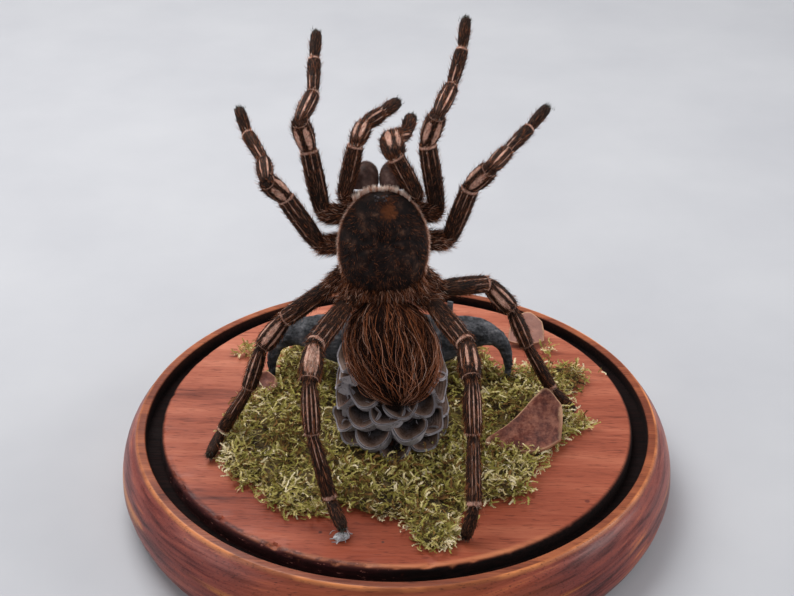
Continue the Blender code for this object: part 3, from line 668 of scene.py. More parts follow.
cone_look, tree, shader, place = look("cone_scales", 0.72)
rim = from_points(tree, "rim")
outside = from_points(tree, "outside")
mottle, dust = worn(tree, place, 420.0)
uneven = worked(tree, "SUBTRACT", mottle, 0.5)
growth = worked(tree, "SINE", product(tree, summed(tree, rim, (uneven, 0.25)), 46.0))
low = from_points(tree, "height")
# Painted shade: each cup's inside darkens towards its middle, and its upper part, under the scale above, is
# painted near-black.
cup = graded(tree, summed(tree, rim, (uneven, 0.8)),
             ((0.1, tone(24, 14, 10)), (0.45, tone(48, 33, 26)), (0.72, tone(82, 61, 50)),
              (0.92, tone(112, 90, 78))))
shaded = ranged(tree, summed(tree, low, (uneven, 0.8)), -0.3, 0.7, 0.0, 1.0)
cup = blended(tree, product(tree, shaded, ranged(tree, rim, 0.98, 0.86)), cup, tone(5, 3, 3))
hull = graded(tree, mottle, ((0.32, tone(32, 23, 23)), (0.5, tone(58, 45, 45)), (0.68, tone(94, 80, 81))))
colour = blended(tree, outside, cup, hull)
warm = ranged(tree, stretched(tree, place, (150, 150, 150), 2.0), 0.56, 0.7, 0.0, 0.5)
colour = blended(tree, warm, colour, tone(112, 66, 48))
edge = product(tree, ranged(tree, rim, 0.96, 0.985), ranged(tree, mottle, 0.36, 0.5, 0.35, 1.0))
colour = blended(tree, product(tree, edge, 0.8), colour, tone(178, 172, 176))
colour = blended(tree, product(tree, dust, 0.16), colour, tone(124, 118, 122))
painted(tree, shader, colour, 0.14, ranged(tree, mottle, 0.3, 0.7, 0.66, 0.86))
relief(tree, shader, summed(tree, mottle, (growth, 0.12)), 0.6, 0.0006)
cone.data.materials.clear()
cone.data.materials.append(cone_look)
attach(cone, "root")
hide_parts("cone")


# ---- Horned nut ----
# One water caltrop, a hard blue-grey nut with two horns that curve down to sharp tips. It leans behind the
# cone, with a tan scar on its right shoulder and a small blunt spur beside its middle.

def from_node(name, new_name, smoothing):
    """A finer copy of a CAD node, rounded off."""
    made = copy_of(name, new_name)
    bpy.ops.mesh.tris_convert_to_quads()
    bpy.ops.object.mode_set(mode="OBJECT")
    bpy.ops.object.modifier_add(type="SUBSURF")
    rounding = made.modifiers[-1]
    rounding.levels = rounding.render_levels = smoothing
    bpy.ops.object.modifier_apply(modifier=rounding.name)
    return made


nut = from_node("horned_nut", "horned_nut_shell", 3)
SPUR_FOOT = Vector((0.0140, 0.0170, 0.0380))
SPUR_TIP = Vector((0.0158, 0.0205, 0.0478))
NUT_SCAR = Vector((0.0278, 0.0090, 0.0412))
for vert in nut.data.vertices:
    bump = 0.00045 * noise.noise(vert.co * 260.0) + 0.0002 * noise.noise(vert.co * 900.0)
    vert.co += vert.normal * bump
bpy.ops.object.select_all(action="DESELECT")
spur_way = SPUR_TIP - SPUR_FOOT
bpy.ops.mesh.primitive_cone_add(vertices=16, radius1=0.0021, radius2=0.0009, depth=spur_way.length,
                                end_fill_type="NGON")
spur = bpy.context.object
bpy.ops.object.mode_set(mode="EDIT")
bpy.ops.mesh.select_all(action="SELECT")
bpy.ops.mesh.subdivide(number_cuts=3)
bpy.ops.object.mode_set(mode="OBJECT")
upright = spur_way.to_track_quat("Z", "Y").to_matrix().to_4x4()
spur.data.transform(Matrix.Translation((SPUR_FOOT + SPUR_TIP) / 2) @ upright)
for vert in spur.data.vertices:
    vert.co += Vector((0.0003, 0.0, 0.0)) * noise.noise(vert.co * 600.0)
spur.select_set(True)
nut.select_set(True)
bpy.context.view_layer.objects.active = nut
bpy.ops.object.join()
bpy.ops.object.shade_smooth_by_angle(angle=math.radians(60.0))

nut_look, tree, shader, place = look("nut_shell", 0.66)
mottle, dust = worn(tree, place, 240.0)
ribs = stretched(tree, place, (160, 500, 900), 3.0)
colour = graded(tree, summed(tree, (mottle, 0.7), (ribs, 0.3)),
                ((0.38, tone(22, 22, 24)), (0.48, tone(48, 49, 52)), (0.57, tone(76, 76, 80)),
                 (0.67, tone(122, 118, 116))))
away = node(tree, "VectorMath", {0: place, 1: tuple(NUT_SCAR)}, operation="DISTANCE").outputs["Value"]
scar = ranged(tree, summed(tree, away, (mottle, 0.004)), 0.0052, 0.0040)
colour = blended(tree, scar, colour, tone(142, 88, 68))
colour = blended(tree, product(tree, dust, 0.28), colour, tone(124, 122, 124))
painted(tree, shader, colour, 0.14, ranged(tree, mottle, 0.3, 0.7, 0.55, 0.8))
relief(tree, shader, summed(tree, mottle, (ribs, 0.5)), 0.8, 0.0009)
nut.data.materials.append(nut_look)
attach(nut, "root")
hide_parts("horned_nut")


# ---- Seed husks ----
# Three thin dry valves of a split seed pod: a dished wing to the right of the cone, mauve-brown inside with a
# tan rim, a pale one behind the right third leg, and a small curled flake to the left of the cone.
VALVES = {  # lower edge, upper edge, sag, tone
    "husk_front": (((24.8, -20.6, 25.9), (32.5, -22.4, 25.7), (39.4, -22.4, 25.7), (45.3, -18.6, 26.2)),
                   ((25.4, -18.6, 27.2), (31.0, -14.2, 28.4), (35.2, -9.0, 29.2), (39.4, -3.6, 30.8),
                    (42.8, -1.8, 32.2), (46.6, -8.0, 30.6)), 1.9, 0.0),
    "husk_back": (((34.8, 37.4, 23.9), (40.1, 35.0, 24.3), (46.0, 37.4, 23.9)),
                  ((36.6, 45.4, 27.4), (42.0, 47.6, 28.4), (45.8, 43.6, 27.2)), 0.8, 1.0),
    "husk_flake": (((-42.2, 7.4, 25.9), (-38.6, 6.4, 25.7), (-35.6, 8.0, 25.9)),
                   ((-41.8, 10.6, 27.8), (-38.6, 12.6, 28.8), (-35.8, 10.4, 28.0)), 1.1, 0.3),
}
VALVE_WALL = 0.75


def smooth_line(points, share):
    """A point on the smooth line through some points."""
    points = [Vector(p) for p in points]
    spot = share * (len(points) - 1)
    at = min(int(spot), len(points) - 2)
    before, near = points[max(at - 1, 0)], points[at]
    far, after = points[at + 1], points[min(at + 2, len(points) - 1)]
    t = spot - at
    return 0.5 * (2 * near + (far - before) * t + (2 * before - 5 * near + 4 * far - after) * t ** 2
                  + (3 * near - 3 * far + after - before) * t ** 3)


def laid_out(tree):
    """How far across and how far along its own UV a place on a piece lies."""
    split = node(tree, "SeparateXYZ", {"Vector": node(tree, "UVMap").outputs["UV"]})
    return split.outputs["X"], split.outputs["Y"]


pod, tree, shader, place = look("pod_valve", 0.6)
mottle, dust = worn(tree, place, 300.0)
across, along = laid_out(tree)
from_edge = product(tree, along, worked(tree, "SUBTRACT", 1.0, along))
from_side = product(tree, across, worked(tree, "SUBTRACT", 1.0, across))
edge = worked(tree, "MINIMUM", product(tree, from_edge, 1.2), from_side)
edge = swung(tree, edge, mottle, 0.18)
upper = ranged(tree, along, 0.35, 0.8, 0.45, 1.0)
veins = stretched(tree, place, (500, 260, 900), 4.0)
inner = graded(tree, summed(tree, (mottle, 0.55), (veins, 0.45)),
               ((0.38, tone(64, 26, 20)), (0.5, tone(104, 54, 41)), (0.62, tone(142, 86, 66))))
paler = from_points(tree, "pale")
inner = blended(tree, product(tree, paler, 0.6), inner, tone(158, 116, 104))
colour = blended(tree, product(tree, ranged(tree, edge, 0.06, 0.01), upper), inner, tone(186, 142, 110))
colour = blended(tree, product(tree, dust, 0.08), colour, tone(180, 156, 146))
painted(tree, shader, colour, 0.16, ranged(tree, mottle, 0.3, 0.7, 0.48, 0.7))
relief(tree, shader, summed(tree, mottle, veins), 0.45, 0.0004)

for name, (lower, upper, sag, pale) in VALVES.items():
    bpy.ops.object.select_all(action="DESELECT")
    bpy.ops.mesh.primitive_grid_add(x_subdivisions=40, y_subdivisions=20, size=2.0)
    valve = bpy.context.object
    valve.name = name + "_valve"
    corner, far, top = Vector(lower[0]), Vector(lower[-1]), Vector(upper[len(upper) // 2])
    facing = (far - corner).cross(top - corner).normalized()
    for vert in valve.data.vertices:
        across, up = (vert.co.x + 1.0) / 2.0, (vert.co.y + 1.0) / 2.0
        dish = sag * math.sin(math.pi * across) ** 0.8 * math.sin(math.pi * min(up + 0.08, 1.0)) ** 0.9
        spot = smooth_line(lower, across).lerp(smooth_line(upper, across), up) - facing * dish
        spot += facing * (0.22 * noise.noise(spot * 0.35) + 0.08 * noise.noise(spot * 1.3))
        vert.co = spot * MM
    bpy.ops.object.modifier_add(type="SOLIDIFY")
    valve.modifiers[-1].thickness = VALVE_WALL * MM
    valve.modifiers[-1].offset = -1.0
    bpy.ops.object.modifier_apply(modifier=valve.modifiers[-1].name)
    give_points(valve.data, "pale", [pale] * len(valve.data.vertices))
    bpy.ops.object.shade_smooth_by_angle(angle=math.radians(50.0))
    valve.data.materials.append(pod)
    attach(valve, "root")
    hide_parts(name)


# ---- Legs and palps ----
# Eight legs and two palps of a dried tarantula. Each is a row of hard tubes that fit into one another, dark
# brown under a short lying coat, with bare pale streaks on the knees and shins, a pale ring at the end of the
# longer tubes and a dark claw tuft at the tip.
LEG_RADII = (2.6, 2.5, 2.55, 2.05, 1.75, 1.5)
# How far a limb's skin is turned round it, in radians
LEG_ROLLS = {"leg_1_left": -0.25, "leg_1_right": 0.12, "leg_2_left": 0.35, "leg_2_right": -0.4,
             "leg_3_left": 0.2, "leg_3_right": 0.3, "leg_4_right": -0.3, "palp_left": -0.3, "palp_right": 0.2}
HIND_LEG_SCALE = 1.08
PALP_RADII = {"palp_left": (1.7, 2.2, 2.2, 2.0, 1.75), "palp_right": (1.7, 2.3, 3.0, 1.95, 1.75)}
# Joints of each leg from its hip to its tip: across, back and up
LEG_JOINTS = {
    "leg_1_left": ((-10.0, -0.7, 87.0), (-19.6, -1.2, 87.2), (-23.1, 2.5, 104.5), (-25.0, -0.5, 113.5),
                   (-22.0, 11.0, 116.5), (-22.0, 21.0, 122.5), (-21.5, 27.0, 128.0)),
    "leg_1_right": ((3.0, -0.7, 87.0), (11.0, 1.0, 86.8), (8.0, 3.0, 106.0), (10.5, 1.0, 114.5),
                    (14.5, 12.5, 118.0), (17.5, 20.5, 125.5), (18.5, 25.0, 132.5)),
    "leg_2_left": ((-10.0, -2.5, 80.0), (-20.4, -4.5, 79.4), (-29.5, -3.5, 93.5), (-33.5, -8.0, 100.0),
                   (-35.0, 2.5, 101.0), (-40.0, 11.5, 105.0), (-42.5, 17.0, 110.0)),
    "leg_2_right": ((3.0, -2.5, 80.0), (14.0, -2.0, 79.8), (19.4, -3.5, 96.5), (24.0, -7.0, 103.0),
                    (29.0, 3.0, 103.5), (35.5, 11.5, 106.5), (40.5, 15.5, 111.0)),
    "leg_3_left": ((-9.8, -5.0, 75.2), (-18.0, -9.5, 69.5), (-30.5, -8.5, 59.0), (-36.8, -11.0, 51.6),
                   (-40.9, -13.0, 39.2), (-49.0, -14.5, 26.0), (-51.5, -23.5, 24.0)),
    "leg_3_right": ((2.8, -5.0, 75.2), (11.0, -6.5, 67.5), (25.0, 1.5, 64.5), (32.0, 1.5, 56.5),
                    (37.0, 1.0, 44.5), (44.5, 0.5, 30.5), (51.0, -1.5, 24.0)),
    "leg_4_left": ((-8.6, -7.4, 70.2), (-13.5, -14.5, 67.0), (-21.0, -32.0, 65.0), (-22.0, -40.5, 60.0),
                   (-21.5, -43.5, 45.5), (-17.0, -49.0, 29.0), (-13.5, -56.0, 25.0)),
    "leg_4_right": ((1.6, -7.4, 70.2), (9.5, -12.5, 66.5), (18.0, -29.0, 63.5), (19.0, -38.0, 59.0),
                    (19.5, -44.0, 45.5), (19.5, -56.0, 32.0), (17.5, -57.0, 23.0)),
}
# The palps' joints are across, forward and up in the body's own frame
PALP_JOINTS = {
    "palp_left": ((-5.4, 10.9, -4.0), (-10.5, 11.5, 0.4), (-7.2, 25.4, 4.0), (-5.1, 31.0, -1.5),
                  (-0.6, 34.4, -7.0), (3.9, 38.2, -12.0)),
    "palp_right": ((5.4, 10.9, -4.0), (9.2, 11.5, 0.4), (3.1, 22.2, 4.2), (1.9, 27.8, -3.0),
                   (6.0, 29.2, -10.0), (7.6, 34.6, -14.5)),
}
BODY_CENTRE = Vector((-3.5, -6.0, 81.5))
BODY_PITCH = math.radians(62.0)
BACKWARDS = Vector((0.0, -math.sin(BODY_PITCH), math.cos(BODY_PITCH)))  # the way the specimen's back faces
# Thickness along each tube as (share of its length, size): hip, thigh, knee, shin, metatarsus and foot
TUBES = (
    ((-0.2, 0.5), (0.0, 0.86), (0.3, 1.0), (0.75, 1.02), (0.95, 0.92), (1.06, 0.6)),
    ((-0.05, 0.42), (0.0, 0.72), (0.1, 0.86), (0.3, 0.98), (0.6, 1.02), (0.86, 0.97), (0.95, 0.94),
     (1.0, 0.86), (1.03, 0.5)),
    ((-0.08, 0.4), (0.0, 0.74), (0.14, 0.92), (0.4, 1.06), (0.7, 1.06), (0.9, 0.94), (0.99, 0.82),
     (1.06, 0.45)),
    ((-0.06, 0.4), (0.0, 0.68), (0.12, 0.86), (0.35, 1.04), (0.65, 1.05), (0.88, 0.96), (0.97, 0.9),
     (1.02, 0.5)),
    ((-0.05, 0.4), (0.0, 0.78), (0.15, 0.9), (0.5, 1.0), (0.8, 1.02), (0.93, 0.98), (0.985, 0.9),
     (1.02, 0.5)),
    ((-0.06, 0.4), (0.0, 0.8), (0.2, 0.98), (0.5, 1.06), (0.8, 1.0), (0.93, 0.82), (1.0, 0.45)),
)
# Bare streaks: tube, middle along it, middle round it, half length, half width and how pale
THIGH_LINES = (
    (1, 0.62, -0.15, 0.42, 0.013, 0.4), (1, 0.6, 0.17, 0.4, 0.014, 0.45),
    (1, 0.8, -0.05, 0.18, 0.012, 0.45), (1, 0.82, 0.06, 0.15, 0.012, 0.4),
)
STREAKS = {
    "fore": THIGH_LINES + (
        (2, 0.5, -0.085, 0.42, 0.052, 1.0), (2, 0.52, 0.088, 0.44, 0.056, 1.0),
        (2, 0.5, 0.2, 0.4, 0.012, 0.6), (2, 0.5, -0.2, 0.4, 0.012, 0.6),
        (3, 0.46, 0.03, 0.44, 0.024, 1.0), (3, 0.42, -0.12, 0.4, 0.015, 0.8),
        (3, 0.5, 0.15, 0.36, 0.013, 0.7), (4, 0.2, -0.05, 0.26, 0.02, 0.9),
        (4, 0.25, 0.1, 0.25, 0.011, 0.5)),
    "third": THIGH_LINES + (
        (2, 0.5, -0.01, 0.42, 0.055, 1.0), (2, 0.5, 0.13, 0.4, 0.024, 0.85),
        (2, 0.5, -0.14, 0.4, 0.026, 0.85), (3, 0.5, 0.03, 0.46, 0.02, 0.9),
        (3, 0.5, -0.1, 0.44, 0.015, 0.8), (3, 0.5, 0.14, 0.4, 0.013, 0.7),
        (4, 0.3, 0.0, 0.3, 0.013, 0.7), (4, 0.3, 0.12, 0.3, 0.011, 0.6)),
    "hind_left": THIGH_LINES + (
        (2, 0.5, 0.0, 0.46, 0.115, 0.62), (2, 0.5, -0.09, 0.44, 0.022, 1.0),
        (2, 0.46, 0.085, 0.44, 0.026, 0.95), (3, 0.47, -0.11, 0.46, 0.014, 0.9),
        (3, 0.5, -0.03, 0.48, 0.014, 0.9), (3, 0.5, 0.05, 0.48, 0.017, 1.0),
        (3, 0.48, 0.14, 0.44, 0.012, 0.8), (4, 0.2, 0.03, 0.3, 0.015, 0.8),
        (4, 0.2, -0.08, 0.26, 0.012, 0.7)),
    "hind_right": THIGH_LINES + (
        (2, 0.45, 0.07, 0.32, 0.022, 0.9), (2, 0.55, -0.05, 0.36, 0.03, 1.0),
        (2, 0.5, 0.17, 0.3, 0.014, 0.6), (3, 0.47, -0.12, 0.46, 0.013, 0.9),
        (3, 0.5, -0.05, 0.48, 0.014, 0.9), (3, 0.5, 0.03, 0.48, 0.014, 1.0),
        (3, 0.48, 0.11, 0.44, 0.012, 0.85), (4, 0.5, -0.08, 0.46, 0.009, 0.55),
        (4, 0.5, 0.01, 0.46, 0.009, 0.6), (4, 0.5, 0.09, 0.46, 0.009, 0.5)),
    "palp": (
        (1, 0.6, -0.12, 0.4, 0.012, 0.5), (1, 0.66, 0.12, 0.36, 0.012, 0.5),
        (2, 0.5, -0.07, 0.4, 0.045, 0.9), (2, 0.5, 0.07, 0.42, 0.042, 0.9),
        (2, 0.5, 0.19, 0.36, 0.012, 0.6), (3, 0.5, 0.0, 0.42, 0.026, 0.95),
        (3, 0.5, 0.13, 0.36, 0.014, 0.6)),
}
# Pale rings: tube, middle along it, half length and how pale. The palps go without the last one.
RINGS = ((1, 0.955, 0.03, 0.8), (2, 0.96, 0.02, 0.5), (3, 0.95, 0.026, 0.6), (4, 0.945, 0.045, 0.95))
ROUND_STEPS = 24


def tube_skin(name, tubes):
    """Closed skins of rings in one object; round them is its U, and its V is along."""
    bm = bmesh.new()
    laid = bm.loops.layers.uv.new("UVMap")
    for rings, along in tubes:
        loops = [[bm.verts.new(point) for point in ring] for ring in rings]
        count = len(loops[0])
        for row, (near, far) in enumerate(zip(loops, loops[1:])):
            for index in range(count):
                after = (index + 1) % count
                face = bm.faces.new((near[index], near[after], far[after], far[index]))
                square = ((index, row), (index + 1, row), (index + 1, row + 1), (index, row + 1))
                for corner, (across, level) in zip(face.loops, square):
                    corner[laid].uv = (across / count, along[level])
        for loop, level in ((loops[0], along[0]), (loops[-1], along[-1])):
            tip = bm.verts.new(sum((v.co for v in loop), Vector()) / count)
            for index in range(count):
                face = bm.faces.new((loop[index], loop[(index + 1) % count], tip))
                for corner, turn in zip(face.loops, (index, index + 1, index + 0.5)):
                    corner[laid].uv = (turn / count, level)
    bmesh.ops.recalc_face_normals(bm, faces=bm.faces)
    bmesh.ops.scale(bm, vec=(MM, MM, MM), verts=bm.verts)
    mesh = bpy.data.meshes.new(name)
    bm.to_mesh(mesh)
    bm.free()
    mesh.shade_smooth()
    made = bpy.data.objects.new(name, mesh)
    bpy.context.scene.collection.objects.link(made)
    return made


def limb_tubes(joints, radii, roll):
    """The rings of a limb's tubes, with their tops turned the way the specimen's back faces, then rolled."""
    tubes, ways = [], []
    draw = np.random.default_rng(3)
    for index, (start, end, radius) in enumerate(zip(joints, joints[1:], radii)):
        start, end = Vector(start), Vector(end)
        ahead = (end - start).normalized()
        top = (BACKWARDS - ahead * BACKWARDS.dot(ahead)).normalized()
        side = ahead.cross(top)
        form = TUBES[index] if index < len(radii) - 1 else TUBES[-1]
        finer = np.linspace(0, len(form) - 1, 3 * len(form) - 2)
        shares = np.interp(finer, range(len(form)), [s for s, _ in form])
        sizes = np.interp(shares, [s for s, _ in form], [r for _, r in form])
        sizes[1:-1] = 0.25 * sizes[:-2] + 0.5 * sizes[1:-1] + 0.25 * sizes[2:]
        rings, along = [], []
        bow = 0.5 if index == 1 else 0.0
        for share, size in zip(shares, sizes):
            middle = start.lerp(end, share) + top * (bow * math.sin(math.pi * min(max(share, 0.0), 1.0)))
            ring = []
            for step in range(ROUND_STEPS):
                a = math.tau * (step / ROUND_STEPS - 0.5) + roll
                grain = 1.0 + draw.uniform(-0.012, 0.012)
                ring.append(middle + (top * math.cos(a) + side * math.sin(a)) * (radius * size * grain))
            rings.append(ring)
            along.append(index + min(max(share, 0.004), 0.996))
        tubes.append((rings, along))
        ways.append(ahead)
    return tubes, ways


def samples(piece, count, draw):
    """Random places on a piece in millimetres, with the way it faces there and its UV."""
    mesh = piece.data
    mesh.calc_loop_triangles()
    corners = np.zeros(len(mesh.loop_triangles) * 3, np.int32)
    mesh.loop_triangles.foreach_get("vertices", corners)
    loops = np.zeros(len(mesh.loop_triangles) * 3, np.int32)
    mesh.loop_triangles.foreach_get("loops", loops)
    co = np.zeros(len(mesh.vertices) * 3, np.float32)
    mesh.vertices.foreach_get("co", co)
    uv = np.zeros(len(mesh.loops) * 2, np.float32)
    mesh.uv_layers[0].data.foreach_get("uv", uv)
    tri = co.reshape(-1, 3)[corners.reshape(-1, 3)] / MM
    laid = uv.reshape(-1, 2)[loops.reshape(-1, 3)]
    facing = np.cross(tri[:, 1] - tri[:, 0], tri[:, 2] - tri[:, 0])
    area = np.linalg.norm(facing, axis=1)
    picked = draw.choice(len(area), count, p=area / area.sum())
    a, b = draw.uniform(0, 1, (2, count))
    flip = a + b > 1
    a[flip], b[flip] = 1 - a[flip], 1 - b[flip]
    weights = np.stack([1 - a - b, a, b], 1)[:, :, None]
    spots, uv = (tri[picked] * weights).sum(1), (laid[picked] * weights).sum(1)
    return spots, facing[picked] / area[picked, None], uv


def unit(rows):
    """Rows of vectors brought to length one."""
    return rows / np.maximum(np.linalg.norm(rows, axis=1, keepdims=True), 1e-9)


def strokes(roots, way, length, steps=(0.0, 1.0)):
    """Straight paths of points from their roots, each along its own way for its length."""
    return roots[:, None] + way[:, None] * (np.array(steps)[None, :, None] * length[:, None, None])


def hairs(name, paths, widths, tints, draw):
    """Tapered three-sided hairs along paths of points, in one object."""
    count, steps, _ = paths.shape
    ways = np.gradient(paths, axis=1)
    ways /= np.maximum(np.linalg.norm(ways, axis=2, keepdims=True), 1e-9)
    first = np.cross(ways, unit(draw.normal(size=(count, 3)))[:, None, :])
    first /= np.maximum(np.linalg.norm(first, axis=2, keepdims=True), 1e-9)
    second = np.cross(ways, first)
    taper = (1.0 - np.linspace(0, 1, steps) ** 1.6)[:-1]
    points = np.zeros((count, 3 * (steps - 1) + 1, 3))
    for corner in range(3):
        a = math.tau * corner / 3
        off = (first * math.cos(a) + second * math.sin(a))[:, :-1] * (widths[:, None] * taper)[:, :, None]
        points[:, corner:-1:3] = paths[:, :-1] + off
    points[:, -1] = paths[:, -1]
    faces = [(0, 2, 1)]
    for level in range(steps - 2):
        for corner in range(3):
            a, b = 3 * level + corner, 3 * level + (corner + 1) % 3
            faces += [(a, b, b + 3), (a, b + 3, a + 3)]
    last = 3 * (steps - 2)
    faces += [(last + corner, last + (corner + 1) % 3, last + 3) for corner in range(3)]
    faces = np.array(faces)[None] + (np.arange(count) * points.shape[1])[:, None, None]
    level = np.concatenate([np.repeat(np.linspace(0, 1, steps)[:-1], 3), [1.0]])
    tint = tints[:, None] + 0.12 * (level[None] - 0.3)
    return from_triangles(name, points.reshape(-1, 3), faces.reshape(-1, 3), tint.ravel())


def paleness(uv, streaks, rings):
    """How pale a limb is at each UV, from its streaks and rings."""
    pale = np.zeros(len(uv))
    for tube, along, around, half_length, half_width, strength in streaks:
        off = ((uv[:, 1] - tube - along) / half_length) ** 2
        off = off + ((uv[:, 0] - 0.5 - around) / (half_width * 1.1)) ** 2
        pale = np.maximum(pale, (off < 1.0) * strength)
    for tube, along, half_length, strength in rings:
        pale = np.maximum(pale, (np.abs(uv[:, 1] - tube - along) < half_length) * strength)
    return pale


def streak_group():
    """One bare streak: 1 inside an oval on the limb's unrolled skin, with a ragged edge."""
    group = bpy.data.node_groups.new("bare_streak", "ShaderNodeTree")
    for name in ("Around", "Along", "Middle Around", "Middle Along", "Half Around", "Half Along", "Ragged",
                 "Strength"):
        group.interface.new_socket(name, in_out="INPUT", socket_type="NodeSocketFloat")
    group.interface.new_socket("Mask", in_out="OUTPUT", socket_type="NodeSocketFloat")
    given, told = group.nodes.new("NodeGroupInput"), group.nodes.new("NodeGroupOutput")
    far = given.outputs["Ragged"]
    for way, power in (("Around", 2.0), ("Along", 2.8)):
        off = worked(group, "SUBTRACT", given.outputs[way], given.outputs["Middle " + way])
        off = worked(group, "DIVIDE", worked(group, "ABSOLUTE", off), given.outputs["Half " + way])
        far = summed(group, far, worked(group, "POWER", off, power))
    mask = product(group, ranged(group, far, 1.25, 0.7), given.outputs["Strength"])
    group.links.new(mask, told.inputs["Mask"])
    return group


bare_streak = streak_group()


def limb_skin(name, streaks):
    """The skin of one kind of limb, with its own bare streaks."""
    made, tree, shader, place = look(name, 0.6)
    around, along = laid_out(tree)
    to_right = node(tree, "SeparateXYZ", {"Vector": place}).outputs["X"]
    unrolled = node(tree, "CombineXYZ", {"X": product(tree, around, 70.0), "Y": product(tree, along, 6.0),
                                         "Z": product(tree, to_right, 60.0)}).outputs[0]
    fibres = node(tree, "TexNoise", {"Vector": unrolled, "Scale": 1.0, "Detail": 4.0, "Roughness": 0.6})
    fibres = fibres.outputs["Fac"]
    crumbs = stretched(tree, place, (1100, 1100, 1100), 3.0, 0.6)
    skin_mottle = stretched(tree, place, (420, 420, 420), 4.0, 0.65)
    ragged = worked(tree, "SUBTRACT", summed(tree, (fibres, 3.6), (crumbs, 1.6)), 2.45)
    colour = graded(tree, skin_mottle, ((0.3, tone(17, 10, 8)), (0.5, tone(32, 20, 15)),
                                        (0.7, tone(54, 34, 26))))
    colour = blended(tree, product(tree, ranged(tree, fibres, 0.54, 0.64), 0.6), colour, tone(132, 88, 64))
    mask = None
    for tube, middle_along, middle_around, half_length, half_width, strength in streaks:
        one = tree.nodes.new("ShaderNodeGroup")
        one.node_tree = bare_streak
        for socket, value in (("Around", around), ("Along", along), ("Ragged", ragged)):
            tree.links.new(value, one.inputs[socket])
        for socket, value in (("Middle Around", 0.5 + middle_around), ("Middle Along", tube + middle_along),
                              ("Half Around", half_width), ("Half Along", half_length),
                              ("Strength", strength)):
            one.inputs[socket].default_value = value
        mask = one.outputs["Mask"] if mask is None else worked(tree, "MAXIMUM", mask, one.outputs["Mask"])
    rings = RINGS[:3] if name == "limb_palp" else RINGS
    for tube, middle_along, half_length, strength in rings:
        off = worked(tree, "ABSOLUTE", worked(tree, "SUBTRACT", along, tube + middle_along))
        off = summed(tree, off, (ragged, half_length * 0.8))
        mask = worked(tree, "MAXIMUM", mask, ranged(tree, off, half_length, half_length * 0.5, 0.0, strength))
    mask = product(tree, mask, ranged(tree, skin_mottle, 0.4, 0.52, 0.55, 1.0))
    streaked = summed(tree, (fibres, 0.75), (crumbs, 0.25))
    pale_tone = graded(tree, streaked, ((0.36, tone(132, 84, 68)), (0.48, tone(196, 146, 126)),
                                        (0.6, tone(226, 186, 166)), (0.74, tone(240, 212, 196))))
    colour = blended(tree, mask, colour, pale_tone)
    painted(tree, shader, colour, 0.1, ranged(tree, skin_mottle, 0.3, 0.7, 0.5, 0.72))
    relief(tree, shader, summed(tree, skin_mottle, fibres), 0.5, 0.0003)
    return made


# Hairs asked for on each limb, before a rule thins them out
COAT_HAIRS = 5500
FUZZ_HAIRS = 1400
HIND_FUZZ_HAIRS = 1900
RING_HAIRS = 6000
HIP_WOOL_HAIRS = 3400
TUFT_HAIRS = 150

limb_skins = {kind: limb_skin("limb_" + kind, streaks) for kind, streaks in STREAKS.items()}

hair_look, tree, shader, place = look("body_hair", 0.6)
tint = from_points(tree, "tint")
shift = swung(tree, tint, stretched(tree, place, (500, 500, 500), 2.0), 0.2)
colour = graded(tree, shift, ((0.0, tone(16, 7, 5)), (0.28, tone(42, 22, 15)), (0.48, tone(96, 54, 34)),
                              (0.66, tone(172, 100, 62)), (0.82, tone(222, 168, 142)),
                              (1.0, tone(255, 232, 216))))
painted(tree, shader, colour, 0.1, ranged(tree, shift, 0.2, 0.9, 0.62, 0.72))

claw_look, tree, shader, place = look("claw_tuft", 0.6)
speckle = stretched(tree, place, (800, 800, 800), 3.0)
painted(tree, shader, graded(tree, speckle, ((0.35, tone(26, 26, 22)), (0.6, tone(70, 74, 62)))), 0.3)


